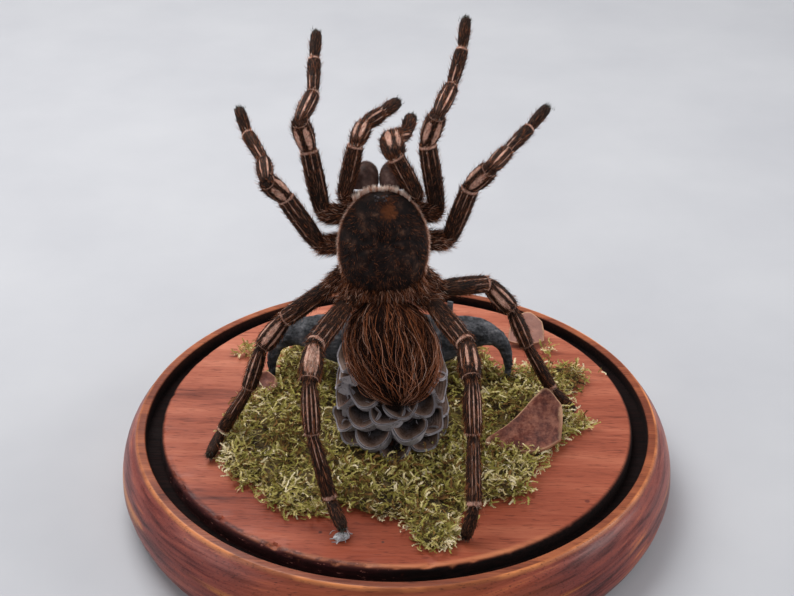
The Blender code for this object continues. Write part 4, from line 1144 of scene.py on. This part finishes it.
def dress_limb(name, kind, joints, radii, seed):
    """One limb: its skin, its short coat, its fuzz, its ring hairs, its hip wool and the tuft at its tip."""
    draw = np.random.default_rng(seed)
    tubes, ways = limb_tubes(joints, radii, LEG_ROLLS.get(name, 0.0))
    skin = tube_skin(name + "_skin", tubes)
    skin.data.materials.append(limb_skins[kind])
    ways = np.array([list(way) for way in ways])
    last = len(radii) - 1
    rings = RINGS[:last - 1]
    hind = kind.startswith("hind")
    pieces = []

    def coat_of(label, places, lift, length, bend, width, tints, wander=0.1):
        """Hairs from these places, leaning the way their tube runs."""
        spots, facing, uv = places
        along = ways[np.clip(uv[:, 1].astype(int), 0, last)]
        steps = np.array([0.0, 0.5, 1.0] if bend else [0.0, 1.0])
        way = unit(along + facing * lift[:, None] + draw.normal(0, wander, spots.shape))
        paths = strokes(spots - facing * 0.08, way, length, steps)
        paths += (steps ** 2)[None, :, None] * (bend * (along - facing * 0.8) * length[:, None])[:, None]
        pieces.append(hairs(name + label, paths, width * draw.uniform(0.8, 1.25, len(spots)), tints, draw))

    def places(count, keep):
        """Places on the skin that a rule keeps."""
        found = samples(skin, count, draw)
        kept = keep(found[2], paleness(found[2], STREAKS[kind], rings), draw.uniform(0, 1, count))
        return [rows[kept] for rows in found]

    found = places(COAT_HAIRS, lambda uv, pale, chance: chance > pale * 0.62)
    on_pale = paleness(found[2], STREAKS[kind], rings) > 0.3
    size, at_hip, at_foot = len(found[0]), found[2][:, 1] < 1.0, found[2][:, 1] > last
    clump = np.array([noise.noise(Vector(spot) * 0.55) for spot in found[0]])
    tints = np.clip(draw.normal(0.19, 0.1, size) + 0.14 * clump, 0.0, 0.5)
    tints = np.where(draw.uniform(0, 1, size) < 0.12, draw.uniform(0.36, 0.6, size), tints)
    tints = np.where(at_hip, tints + draw.uniform(0.1, 0.4, size), np.where(at_foot, tints * 0.8, tints))
    tints = np.where(on_pale, draw.uniform(0.4, 0.98, size), tints)
    coat_of("_coat", found, np.where(at_foot, 0.16, 0.28) + draw.uniform(-0.14, 0.16, size),
            draw.uniform(0.7, 1.35, size) * np.where(at_foot, 0.8, 1.0), 0.0, 0.06, tints)

    found = places(HIND_FUZZ_HAIRS if hind else FUZZ_HAIRS,
                   lambda uv, pale, chance: (chance > pale) & (uv[:, 1] < last + 0.6))
    size = len(found[0])
    lying = hind & (draw.uniform(0, 1, size) < 0.45)
    lift = np.where(lying, draw.uniform(0.2, 0.55, size), draw.uniform(0.5, 1.5, size))
    length = np.where(lying, draw.uniform(1.8, 3.4, size), draw.uniform(0.9, 2.3, size))
    coat_of("_fuzz", found, lift, length, 0.2, 0.05, draw.uniform(0.26, 0.66, size))

    def in_ring(uv, pale, chance):
        """Keep what lies in a ring, and more of it the paler the ring is."""
        return np.any([(np.abs(uv[:, 1] - tube - along) < half) & (chance < strength * 0.6)
                       for tube, along, half, strength in rings], 0)

    found = places(RING_HAIRS, in_ring)
    size = len(found[0])
    lift, length = draw.uniform(0.05, 0.35, size), draw.uniform(0.3, 0.7, size)
    coat_of("_ring_hairs", found, lift, length, 0.0, 0.05, draw.uniform(0.55, 1.0, size))

    found = places(HIP_WOOL_HAIRS, lambda uv, pale, chance: uv[:, 1] < 1.06)
    size = len(found[0])
    bright = draw.uniform(0, 1, size) < 0.45
    tints = np.where(bright, draw.uniform(0.55, 0.92, size), draw.uniform(0.14, 0.5, size))
    lift, length = draw.uniform(0.5, 1.5, size), draw.uniform(1.2, 2.8, size)
    coat_of("_hip_wool", found, lift, length, 0.2, 0.05, tints, 0.35)

    spread = draw.normal(0, 0.36, (TUFT_HAIRS, 3)) * radii[-1]
    root = np.array(joints[-1]) - ways[-1] * radii[-1] * 0.7 + spread
    way = unit(ways[-1] + draw.normal(0, 0.28, (TUFT_HAIRS, 3)))
    length = draw.uniform(0.7, 1.3, TUFT_HAIRS) * radii[-1] * 0.75
    widths, tints = np.full(TUFT_HAIRS, 0.1), np.full(TUFT_HAIRS, 0.2)
    tuft = hairs(name + "_tuft", strokes(root, way, length), widths, tints, draw)
    tuft.data.materials.append(claw_look)
    for piece in pieces:
        piece.data.materials.append(hair_look)
    for piece in (skin, tuft, *pieces):
        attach(piece, "root")
    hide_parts(name)


def in_body(point):
    """A place across, forward and up on the specimen, brought into the frame."""
    across, forward, up = point
    cos, sin = math.cos(BODY_PITCH), math.sin(BODY_PITCH)
    return Vector((across, forward * cos - up * sin, forward * sin + up * cos)) + BODY_CENTRE


LEG_KINDS = {"1": "fore", "2": "fore", "3": "third"}
for seed, (name, joints) in enumerate(LEG_JOINTS.items()):
    _, row, side = name.split("_")
    thickness = HIND_LEG_SCALE if row == "4" else 1.0
    radii = [radius * thickness for radius in LEG_RADII]
    dress_limb(name, LEG_KINDS.get(row, "hind_" + side), joints, radii, 20 + seed)
for seed, (name, joints) in enumerate(PALP_JOINTS.items()):
    dress_limb(name, "palp", [in_body(joint) for joint in joints], PALP_RADII[name], 40 + seed)


# ---- Carapace, eyes and jaws ----
# The shield over the front of the body, dark and velvety, with grooves that run out from a pit in its middle
# and a low hump that carries eight small glossy eyes. A pale fringe lies along its front edge, over two
# domed jaws.
CARAPACE_HALF_WIDTH = 11.9
CARAPACE_HALF_LENGTH = 13.6
CARAPACE_SECTIONS = (  # height and size, from the chest plate up to the pit
    (-6.2, 0.0), (-6.0, 0.3), (-5.1, 0.42), (-1.0, 0.5), (0.2, 0.84), (0.6, 0.95), (1.1, 1.0), (2.0, 0.985),
    (3.3, 0.88), (4.4, 0.68), (5.1, 0.44), (5.3, 0.22), (4.75, 0.03),
)
GROOVES = (38.0, 8.0, -22.0, -56.0)  # bearings from the pit, on each side
EYE_HUMP = (-0.6, 11.0)
# The eyes: across and forward from the hump's middle, and radius
EYES = ((-0.75, 0.35, 0.42), (0.75, 0.35, 0.42), (-1.5, 0.75, 0.36), (1.5, 0.75, 0.36),
        (-1.35, -0.35, 0.3), (1.35, -0.35, 0.3), (-0.85, -0.5, 0.24), (0.85, -0.5, 0.24))
BODY_STEPS = 96
WARM_SPOT = (1.2, 8.3, 4.4)
VELVET_HAIRS = 13500
MARGIN_HAIRS = 3600
FRONT_FRINGE_HAIRS = 1900
JAW_HAIRS = 3200


def carapace_edge(a):
    """The carapace's outline: an oval, square behind and narrower towards its front."""
    fullness = 0.78 if math.sin(a) > 0 else 0.5
    across = math.copysign(abs(math.cos(a)) ** fullness, math.cos(a))
    along = math.copysign(abs(math.sin(a)) ** 0.92, math.sin(a))
    across *= 1.0 - 0.17 * max(along, 0.0) ** 1.4
    return CARAPACE_HALF_WIDTH * across, CARAPACE_HALF_LENGTH * along


def shield_height(across, forward):
    """What the grooves, the pit and the eye hump add to the carapace's height."""
    added = 1.15 * math.exp(-((across - EYE_HUMP[0]) / 2.0) ** 2 - ((forward - EYE_HUMP[1]) / 1.5) ** 2)
    reach = math.hypot(across / CARAPACE_HALF_WIDTH, (forward + 0.5) / CARAPACE_HALF_LENGTH)
    bearing = math.degrees(math.atan2(forward + 0.5, abs(across)))
    for groove in GROOVES:
        depth = 0.24 * math.exp(-((bearing - groove) / 5.0) ** 2)
        added -= depth * math.sin(math.pi * min(reach / 0.95, 1.0)) ** 0.7
    return added


profile = [(height, size, 0.0) for height, size in CARAPACE_SECTIONS]
gaps = len(profile) - 1
heights = np.array([smooth_line(profile, at / gaps)[:2] for at in np.linspace(0, gaps, 5 * gaps + 1)])
rings, along = [], []
for up, size in heights:
    size = max(size, 0.02)
    ring = []
    for step in range(BODY_STEPS):
        x, y = carapace_edge(math.tau * step / BODY_STEPS)
        x, y = x * size, y * size
        lift = shield_height(x, y) if up > 2.4 and size < 0.97 else 0.0
        ring.append(in_body((x, y, up + lift * min(1.0, (0.97 - size) * 12.0))))
    rings.append(ring)
    along.append(float(size) if up > 1.0 else 1.5)
shield = tube_skin("carapace", [(rings, along)])

shield_look, tree, shader, place = look("carapace", 0.6)
_, outward = laid_out(tree)
mottle = stretched(tree, place, (330, 330, 330), 5.0, 0.68)
colour = graded(tree, mottle, ((0.36, tone(8, 4, 4)), (0.5, tone(24, 14, 12)), (0.6, tone(48, 32, 26)),
                               (0.7, tone(86, 60, 46))))
warm_place = in_body(WARM_SPOT) * MM
away = node(tree, "VectorMath", {0: place, 1: tuple(warm_place)}, operation="DISTANCE").outputs["Value"]
warm = ranged(tree, summed(tree, away, (mottle, 0.018)), 0.0122, 0.0092, 0.0, 0.6)
colour = blended(tree, warm, colour, tone(112, 60, 28))
rim_band = ranged(tree, outward, 0.95, 1.0)
colour = blended(tree, product(tree, rim_band, 0.6), colour, tone(132, 88, 70))
painted(tree, shader, colour, 0.12, ranged(tree, mottle, 0.3, 0.7, 0.5, 0.7))
relief(tree, shader, mottle, 0.8, 0.0007)
shield.data.materials.append(shield_look)
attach(shield, "root")
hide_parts("prosoma")

to_world = np.array([[1, 0, 0],
                     [0, math.cos(BODY_PITCH), -math.sin(BODY_PITCH)],
                     [0, math.sin(BODY_PITCH), math.cos(BODY_PITCH)]])
centre = np.array(BODY_CENTRE)
draw = np.random.default_rng(61)
spots, facing, uv = samples(shield, VELVET_HAIRS, draw)
keep = (uv[:, 1] <= 1.0) | (draw.uniform(0, 1, len(spots)) < 0.3)
spots, facing = spots[keep], facing[keep]
local = (spots - centre) @ to_world
swirl = np.array([[noise.noise(Vector((x, y, 3.0)) * 0.24), noise.noise(Vector((x, y, 40.0)) * 0.24), 0.0]
                  for x, y, _ in local])
patches = np.array([noise.noise(Vector((x, y, 7.0)) * 0.5) for x, y, _ in local])
flow = unit(np.array([0.0, -0.7, 0.0]) + swirl * 1.9 + local * (0.035, 0.0, 0.0)) @ to_world.T
way = unit(flow + facing * 0.22 + draw.normal(0, 0.16, spots.shape))
length = draw.uniform(0.6, 1.35, len(spots))
paths = strokes(spots - facing * 0.05, way, length)
tints = np.clip(draw.normal(0.2, 0.14, len(spots)) + 0.4 * patches, 0.0, 0.6)
tints = np.where(draw.uniform(0, 1, len(spots)) < 0.2, draw.uniform(0.34, 0.68, len(spots)), tints)
to_warm = np.linalg.norm((local - WARM_SPOT) * (1.5, 0.85, 1.0), axis=1) + 2.4 * patches
warmed = (to_warm < 2.3) & (draw.uniform(0, 1, len(spots)) < 0.4)
tints = np.where(warmed, draw.uniform(0.42, 0.6, len(spots)), tints)
velvet = hairs("carapace_velvet", paths, 0.04 * draw.uniform(0.7, 1.3, len(spots)), tints, draw)

def drooping(root, way, length):
    """A short path that sags towards its tip."""
    return [root + way * (length * s) - np.array([0.0, 0.0, 0.3 * length * s * s]) for s in (0.0, 0.5, 1.0)]


fringe_paths, fringe_tints = [], []
for index in range(MARGIN_HAIRS):  # short pale hairs along the margin, rust-coloured and longer behind
    a = draw.uniform(0.0, math.tau)
    x, y = carapace_edge(a)
    rear = max(0.0, -math.sin(a) - 0.55)
    root = np.array([x * 0.985, y * 0.985, 1.3 + draw.uniform(-0.4, 0.8)])
    out = np.array([x, y * 0.5 - 6.0, 0.0])
    out /= np.linalg.norm(out)
    way = out + np.array([0.0, 0.0, draw.uniform(0.0, 0.45)]) + draw.normal(0, 0.2, 3)
    length = draw.uniform(0.5, 1.1) + rear * 2.6
    fringe_paths.append(drooping(root, way, length))
    fringe_tints.append(draw.uniform(0.66, 0.95) if rear == 0.0 else draw.uniform(0.3, 0.8))
for index in range(FRONT_FRINGE_HAIRS):  # the bright fringe in front, one low arch over each jaw
    share = draw.uniform(-1.0, 1.0)
    arch = 0.5 * abs(math.sin(math.pi * share)) ** 0.7
    forward = 13.0 - 2.4 * share * share + arch + draw.uniform(-0.3, 0.3)
    root = np.array([share * 7.4 - 0.5, forward, 2.1 + draw.uniform(-0.7, 0.3)])
    clump = noise.noise(Vector((share * 9.0, 0.0, 5.0)))
    way = np.array([share * 0.3 + 0.8 * clump, 1.0, 0.6 + clump]) + draw.normal(0, 0.14, 3)
    length = draw.uniform(0.9, 1.6)
    fringe_paths.append(drooping(root, way, length))
    fringe_tints.append(draw.uniform(0.76, 1.05) + 0.3 * clump)
fringe_paths = np.array(fringe_paths) @ to_world.T + centre
widths = 0.05 * draw.uniform(0.8, 1.25, len(fringe_paths))
fringe = hairs("carapace_fringe", fringe_paths, widths, np.array(fringe_tints), draw)
for piece in (velvet, fringe):
    piece.data.materials.append(hair_look)
    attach(piece, "root")

eye_look, tree, shader, place = look("eye_lens", 0.3)
speckle = stretched(tree, place, (1500, 1500, 1500), 2.0)
painted(tree, shader, graded(tree, speckle, ((0.4, tone(16, 11, 12)), (0.65, tone(66, 58, 62)))), 0.35)
bpy.ops.object.select_all(action="DESELECT")
eyes = []
for across, forward, size in EYES:
    x, y = EYE_HUMP[0] + across, EYE_HUMP[1] + forward
    reach = math.hypot(x / CARAPACE_HALF_WIDTH, y / CARAPACE_HALF_LENGTH)
    up = np.interp(reach, (0.44, 0.68, 0.88, 0.985), (5.1, 4.4, 3.3, 2.0)) + shield_height(x, y)
    middle = in_body((x, y, up)) * MM
    bpy.ops.mesh.primitive_uv_sphere_add(segments=20, ring_count=12, radius=size * MM, location=middle)
    eyes.append(bpy.context.object)
for eye in eyes:
    eye.select_set(True)
bpy.context.view_layer.objects.active = eyes[0]
bpy.ops.object.join()
eyes = bpy.context.object
eyes.name = "eyes"
bpy.ops.object.transform_apply(location=True, rotation=True, scale=True)
bpy.ops.object.shade_smooth()
eyes.data.materials.append(eye_look)
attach(eyes, "root")

CHELICERA_SIDES = {"chelicera_left": -4.8, "chelicera_right": 2.4}
CHELICERA_STATIONS = (  # forward, up and radius, over the dome and down into the folded fang
    (13.9, -2.6, 3.0), (15.6, -2.6, 3.5), (17.4, -3.4, 3.5), (18.5, -6.0, 3.0), (17.7, -9.0, 1.8),
    (15.5, -10.6, 0.9), (13.4, -10.6, 0.45), (12.2, -10.5, 0.1),
)
JAW_ROWS = 36
JAW_STEPS = 28
jaw_look, tree, shader, place = look("jaw_cuticle", 0.62)
mottle = stretched(tree, place, (500, 500, 500), 4.0)
_, down = laid_out(tree)
colour = graded(tree, mottle, ((0.3, tone(70, 49, 44)), (0.5, tone(98, 73, 66)), (0.7, tone(130, 102, 94))))
colour = blended(tree, ranged(tree, down, 0.55, 0.72), colour, tone(14, 8, 8))
painted(tree, shader, colour, 0.18, ranged(tree, mottle, 0.3, 0.7, 0.52, 0.7))
relief(tree, shader, mottle, 0.4, 0.0003)
for seed, (name, side) in enumerate(CHELICERA_SIDES.items()):
    fine = [smooth_line(CHELICERA_STATIONS, share) for share in np.linspace(0, 1, JAW_ROWS)]
    rings = []
    for index, (forward, up, half) in enumerate(fine):
        ahead = fine[min(index + 1, JAW_ROWS - 1)] - fine[max(index - 1, 0)]
        ahead = Vector((0.0, ahead.x, ahead.y)).normalized()
        aside = Vector((1, 0, 0))
        above = aside.cross(ahead)
        ring = []
        for step in range(JAW_STEPS):
            a = math.tau * step / JAW_STEPS
            spot = Vector((side, forward, up)) + aside * (half * math.cos(a)) + above * (half * math.sin(a))
            ring.append(in_body(spot))
        rings.append(ring)
    jaw = tube_skin(name + "_dome", [(rings, list(np.linspace(0, 1, JAW_ROWS)))])
    jaw.data.materials.append(jaw_look)
    draw = np.random.default_rng(70 + seed)
    spots, facing, uv = samples(jaw, JAW_HAIRS, draw)
    keep = uv[:, 1] < 0.6
    spots, facing = spots[keep], facing[keep]
    way = unit(np.array([0.0, 0.7, -0.5]) @ to_world.T + facing * 0.25 + draw.normal(0, 0.16, spots.shape))
    length = draw.uniform(0.35, 0.75, len(spots))
    paths = strokes(spots - facing * 0.05, way, length)
    widths = 0.035 * draw.uniform(0.7, 1.2, len(spots))
    tints = np.clip(draw.normal(0.42, 0.1, len(spots)), 0.1, 0.7)
    down = hairs(name + "_down", paths, widths, tints, draw)
    down.data.materials.append(hair_look)
    for piece in (jaw, down):
        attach(piece, "root")
    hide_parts(name)


# ---- Abdomen ----
# A soft bag that hangs from the narrow waist and lies on the cone. Its short dark coat is combed over with
# long copper-coloured bristles that start behind the carapace and sweep in to a point at its end.
# Rings of the bag: forward, half width, half height and up
ABDOMEN_STATIONS = (
    (-9.9, 1.2, 1.2, -3.6), (-14.6, 1.6, 1.6, -3.2), (-16.4, 5.6, 4.4, -2.4), (-20.0, 9.0, 7.2, -1.8),
    (-26.0, 10.9, 8.6, -1.8), (-32.0, 11.1, 8.4, -2.4), (-37.5, 9.4, 6.9, -3.0), (-41.4, 6.2, 4.6, -3.5),
    (-43.6, 3.0, 2.3, -3.8), (-44.3, 0.2, 0.2, -3.8),
)
ABDOMEN_FRONT = -9.7
ABDOMEN_LENGTH = 34.6
ABDOMEN_DRIFT = 3.9
BAG_ROWS = 46
BAG_STEPS = 56
BAG_HAIRS = 9800
WAIST_HAIRS = 2500
table = np.array(ABDOMEN_STATIONS)


def abdomen_point(share, a):
    """Places on the abdomen in the body's own frame and the ways it faces, from shares and angles."""
    at = share * (len(table) - 1)
    forward, half_width, half_height, up = (np.interp(at, range(len(table)), table[:, c]) for c in range(4))
    behind = (forward - ABDOMEN_FRONT) / -ABDOMEN_LENGTH
    across = ABDOMEN_DRIFT * behind + half_width * np.cos(a)
    level = up + half_height * np.sin(a)
    above = np.sin(a) / np.maximum(half_height, 0.5)
    facing = np.stack([np.cos(a) / np.maximum(half_width, 0.5), 0 * a, above], 1)
    return np.stack([across, forward, level], 1), unit(facing)


rings, along = [], []
for share in np.linspace(0, 1, BAG_ROWS):
    spot = smooth_line([(f, w, h) for f, w, h, _ in ABDOMEN_STATIONS], share)
    up = smooth_line([(u, 0.0, 0.0) for _, _, _, u in ABDOMEN_STATIONS], share).x
    forward, half_width, half_height = spot.x, max(spot.y, 0.1), max(spot.z, 0.1)
    drift = ABDOMEN_DRIFT * (forward - ABDOMEN_FRONT) / -ABDOMEN_LENGTH
    ring = []
    for step in range(BAG_STEPS):
        a = math.tau * step / BAG_STEPS
        swell = 1.0 + 0.02 * noise.noise(Vector((math.cos(a), math.sin(a), share * 4.0)) * 2.2)
        across = drift + half_width * math.cos(a) * swell
        ring.append(in_body((across, forward, up + half_height * math.sin(a) * swell)))
    rings.append(ring)
    along.append(float(share))
bag = tube_skin("abdomen_bag", [(rings, along)])
bag_look, tree, shader, place = look("abdomen_hide", 0.8)
mottle = stretched(tree, place, (300, 300, 300), 4.0, 0.65)
colour = graded(tree, mottle, ((0.3, tone(7, 4, 5)), (0.5, tone(16, 9, 9)), (0.72, tone(34, 20, 17))))
painted(tree, shader, colour, 0.1, ranged(tree, mottle, 0.3, 0.7, 0.7, 0.88))
relief(tree, shader, mottle, 0.6, 0.0005)
bag.data.materials.append(bag_look)
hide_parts("abdomen")

draw = np.random.default_rng(81)
spots, facing, uv = samples(bag, BAG_HAIRS, draw)
way = unit(np.array([0.0, -1.0, 0.0]) @ to_world.T + facing * 0.35 + draw.normal(0, 0.2, spots.shape))
length = draw.uniform(1.0, 2.2, len(spots))
paths = strokes(spots - facing * 0.1, way, length)
widths = 0.06 * draw.uniform(0.7, 1.2, len(spots))
coat = hairs("abdomen_coat", paths, widths, np.clip(draw.normal(0.05, 0.1, len(spots)), 0.0, 0.42), draw)


def combed(name, count, steps, first, furthest, widths, tints, wander):
    """Long bristles laid along the abdomen that draw in to its tip, parted over its middle."""
    start = first + 0.56 * draw.beta(1.0, 1.7, count)
    finish_at = np.minimum(start + draw.uniform(0.18, furthest, count), draw.uniform(0.86, 0.985, count))
    above = draw.uniform(0, 1, count) < 0.9
    turn = np.where(above, draw.uniform(-0.45, math.pi + 0.45, count), draw.uniform(math.pi, math.tau, count))
    parted = (np.abs(turn - 1.8) < 0.42) & (start > 0.28) & (start < 0.74)
    parted &= draw.uniform(0, 1, count) < 0.85
    start, finish_at, turn = start[~parted], finish_at[~parted], turn[~parted]
    count = len(start)
    sway, phase = draw.normal(0, wander, count), draw.uniform(0, math.tau, count)
    loose = draw.uniform(0, 1, count) < 0.15
    high = np.where(loose, draw.uniform(1.2, 2.6, count), draw.uniform(0.15, 1.2, count))
    paths = np.zeros((count, steps, 3))
    for index, s in enumerate(np.linspace(0.0, 1.0, steps)):
        share = start + (finish_at - start) * s
        pull = np.clip((share - 0.38) / 0.56, 0, 1) ** 1.25 * 0.66 * s ** 0.6
        drawn_in = turn + (1.32 - turn) * pull + sway * math.sin(math.pi * s)
        drawn_in += 0.05 * np.sin(8.0 * s + phase) + 0.03 * np.sin(17.0 * s + 2.0 * phase)
        drawn_in = np.where(turn > math.pi + 0.45, turn, drawn_in)
        spot, out = abdomen_point(share, drawn_in)
        paths[:, index] = spot + out * (high * math.sin(math.pi * min(s * 0.85 + 0.02, 1.0)) + 0.1)[:, None]
    widths = draw.uniform(*widths, count)
    tints = np.clip(draw.normal(*tints, count), 0.15, 0.86)
    return hairs(name, paths @ to_world.T + centre, widths, tints, draw)


bristles = combed("abdomen_bristles", 1400, 8, 0.12, 0.42, (0.04, 0.07), (0.21, 0.13), 0.18)
strands = combed("abdomen_strands", 430, 10, 0.14, 0.5, (0.085, 0.12), (0.66, 0.08), 0.2)

count = WAIST_HAIRS  # rust-coloured wool round the waist and between the hips
side = draw.uniform(-1.0, 1.0, count)
forward = -10.5 - 3.0 * (1.0 - side ** 2) + draw.uniform(-0.8, 1.5, count)
root = np.stack([side * 10.5, forward, draw.uniform(-1.5, 2.6, count)], 1)
way = np.stack([side * 0.7, -np.ones(count), draw.uniform(-0.2, 0.9, count)], 1)
way = unit(way + draw.normal(0, 0.35, (count, 3)))
length = draw.uniform(1.8, 5.4, count)
steps = np.array([0.0, 0.5, 1.0])
paths = strokes(root, way, length, steps)
paths[:, :, 2] -= (steps[None] ** 2) * 0.25 * length[:, None]
paths = paths @ to_world.T + centre
dark = draw.uniform(0, 1, count) < 0.6
tints = np.where(dark, draw.uniform(0.1, 0.44, count), draw.uniform(0.46, 0.86, count))
wool = hairs("waist_wool", paths, draw.uniform(0.05, 0.08, count), tints, draw)
for piece in (bag, coat, bristles, strands, wool):
    if piece is not bag:
        piece.data.materials.append(hair_look)
    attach(piece, "root")


# ---- Glue ----
# A drop of clear glue that dried cloudy round the left fourth foot, with thin strings pulled out of it.
drop = from_node("glue_drop", "glue_blob", 3)
for vert in drop.data.vertices:
    vert.co.z += 0.00035 * max(0.0, noise.noise(vert.co * 900.0)) * (1.0 if vert.co.z > 0.0228 else 0.0)
GLUE_STRINGS = (  # start, middle and end of each
    ((-17.2, -55.0, 22.6), (-16.4, -55.0, 23.8), (-15.3, -55.6, 24.4)),
    ((-17.0, -56.6, 22.5), (-15.2, -57.2, 23.4), (-13.5, -56.9, 25.2)),
    ((-15.2, -58.6, 22.5), (-14.6, -57.8, 23.4), (-13.9, -57.0, 24.6)),
    ((-12.9, -57.9, 22.5), (-13.2, -57.6, 23.6), (-13.9, -57.0, 24.8)),
    ((-11.4, -54.6, 22.5), (-12.0, -55.6, 23.6), (-12.7, -56.5, 25.8)),
    ((-12.2, -56.4, 22.6), (-12.2, -56.8, 24.2), (-12.9, -56.6, 26.0)),
    ((-16.5, -57.8, 22.5), (-14.6, -58.2, 23.0), (-12.4, -56.4, 23.0)),
    ((-14.9, -56.7, 24.6), (-13.6, -57.5, 24.3), (-12.4, -56.9, 24.4)),
    ((-14.6, -57.0, 23.4), (-13.4, -57.7, 23.6), (-12.2, -56.6, 23.9)),
)
draw = np.random.default_rng(91)
paths = np.array([[smooth_line(points, s) for s in np.linspace(0, 1, 9)] for points in GLUE_STRINGS])
strings = hairs("glue_strings", paths, draw.uniform(0.13, 0.22, len(paths)), np.full(len(paths), 0.5), draw)
glue_look, tree, shader, place = look("dried_glue", 0.22)
cloud = stretched(tree, place, (500, 500, 500), 3.0)
colour = graded(tree, cloud, ((0.3, tone(150, 146, 146)), (0.7, tone(226, 226, 230))))
tree.links.new(colour, shader.inputs["Base Color"])
tree.links.new(ranged(tree, cloud, 0.3, 0.7, 0.12, 0.35), shader.inputs["Roughness"])
shader.inputs["Transmission Weight"].default_value = 0.35
relief(tree, shader, cloud, 0.5, 0.0003)
for piece in (drop, strings):
    piece.data.materials.append(glue_look)
    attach(piece, "root")
bpy.ops.object.select_all(action="DESELECT")
drop.select_set(True)
bpy.context.view_layer.objects.active = drop
bpy.ops.object.shade_smooth()
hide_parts("glue_drop")
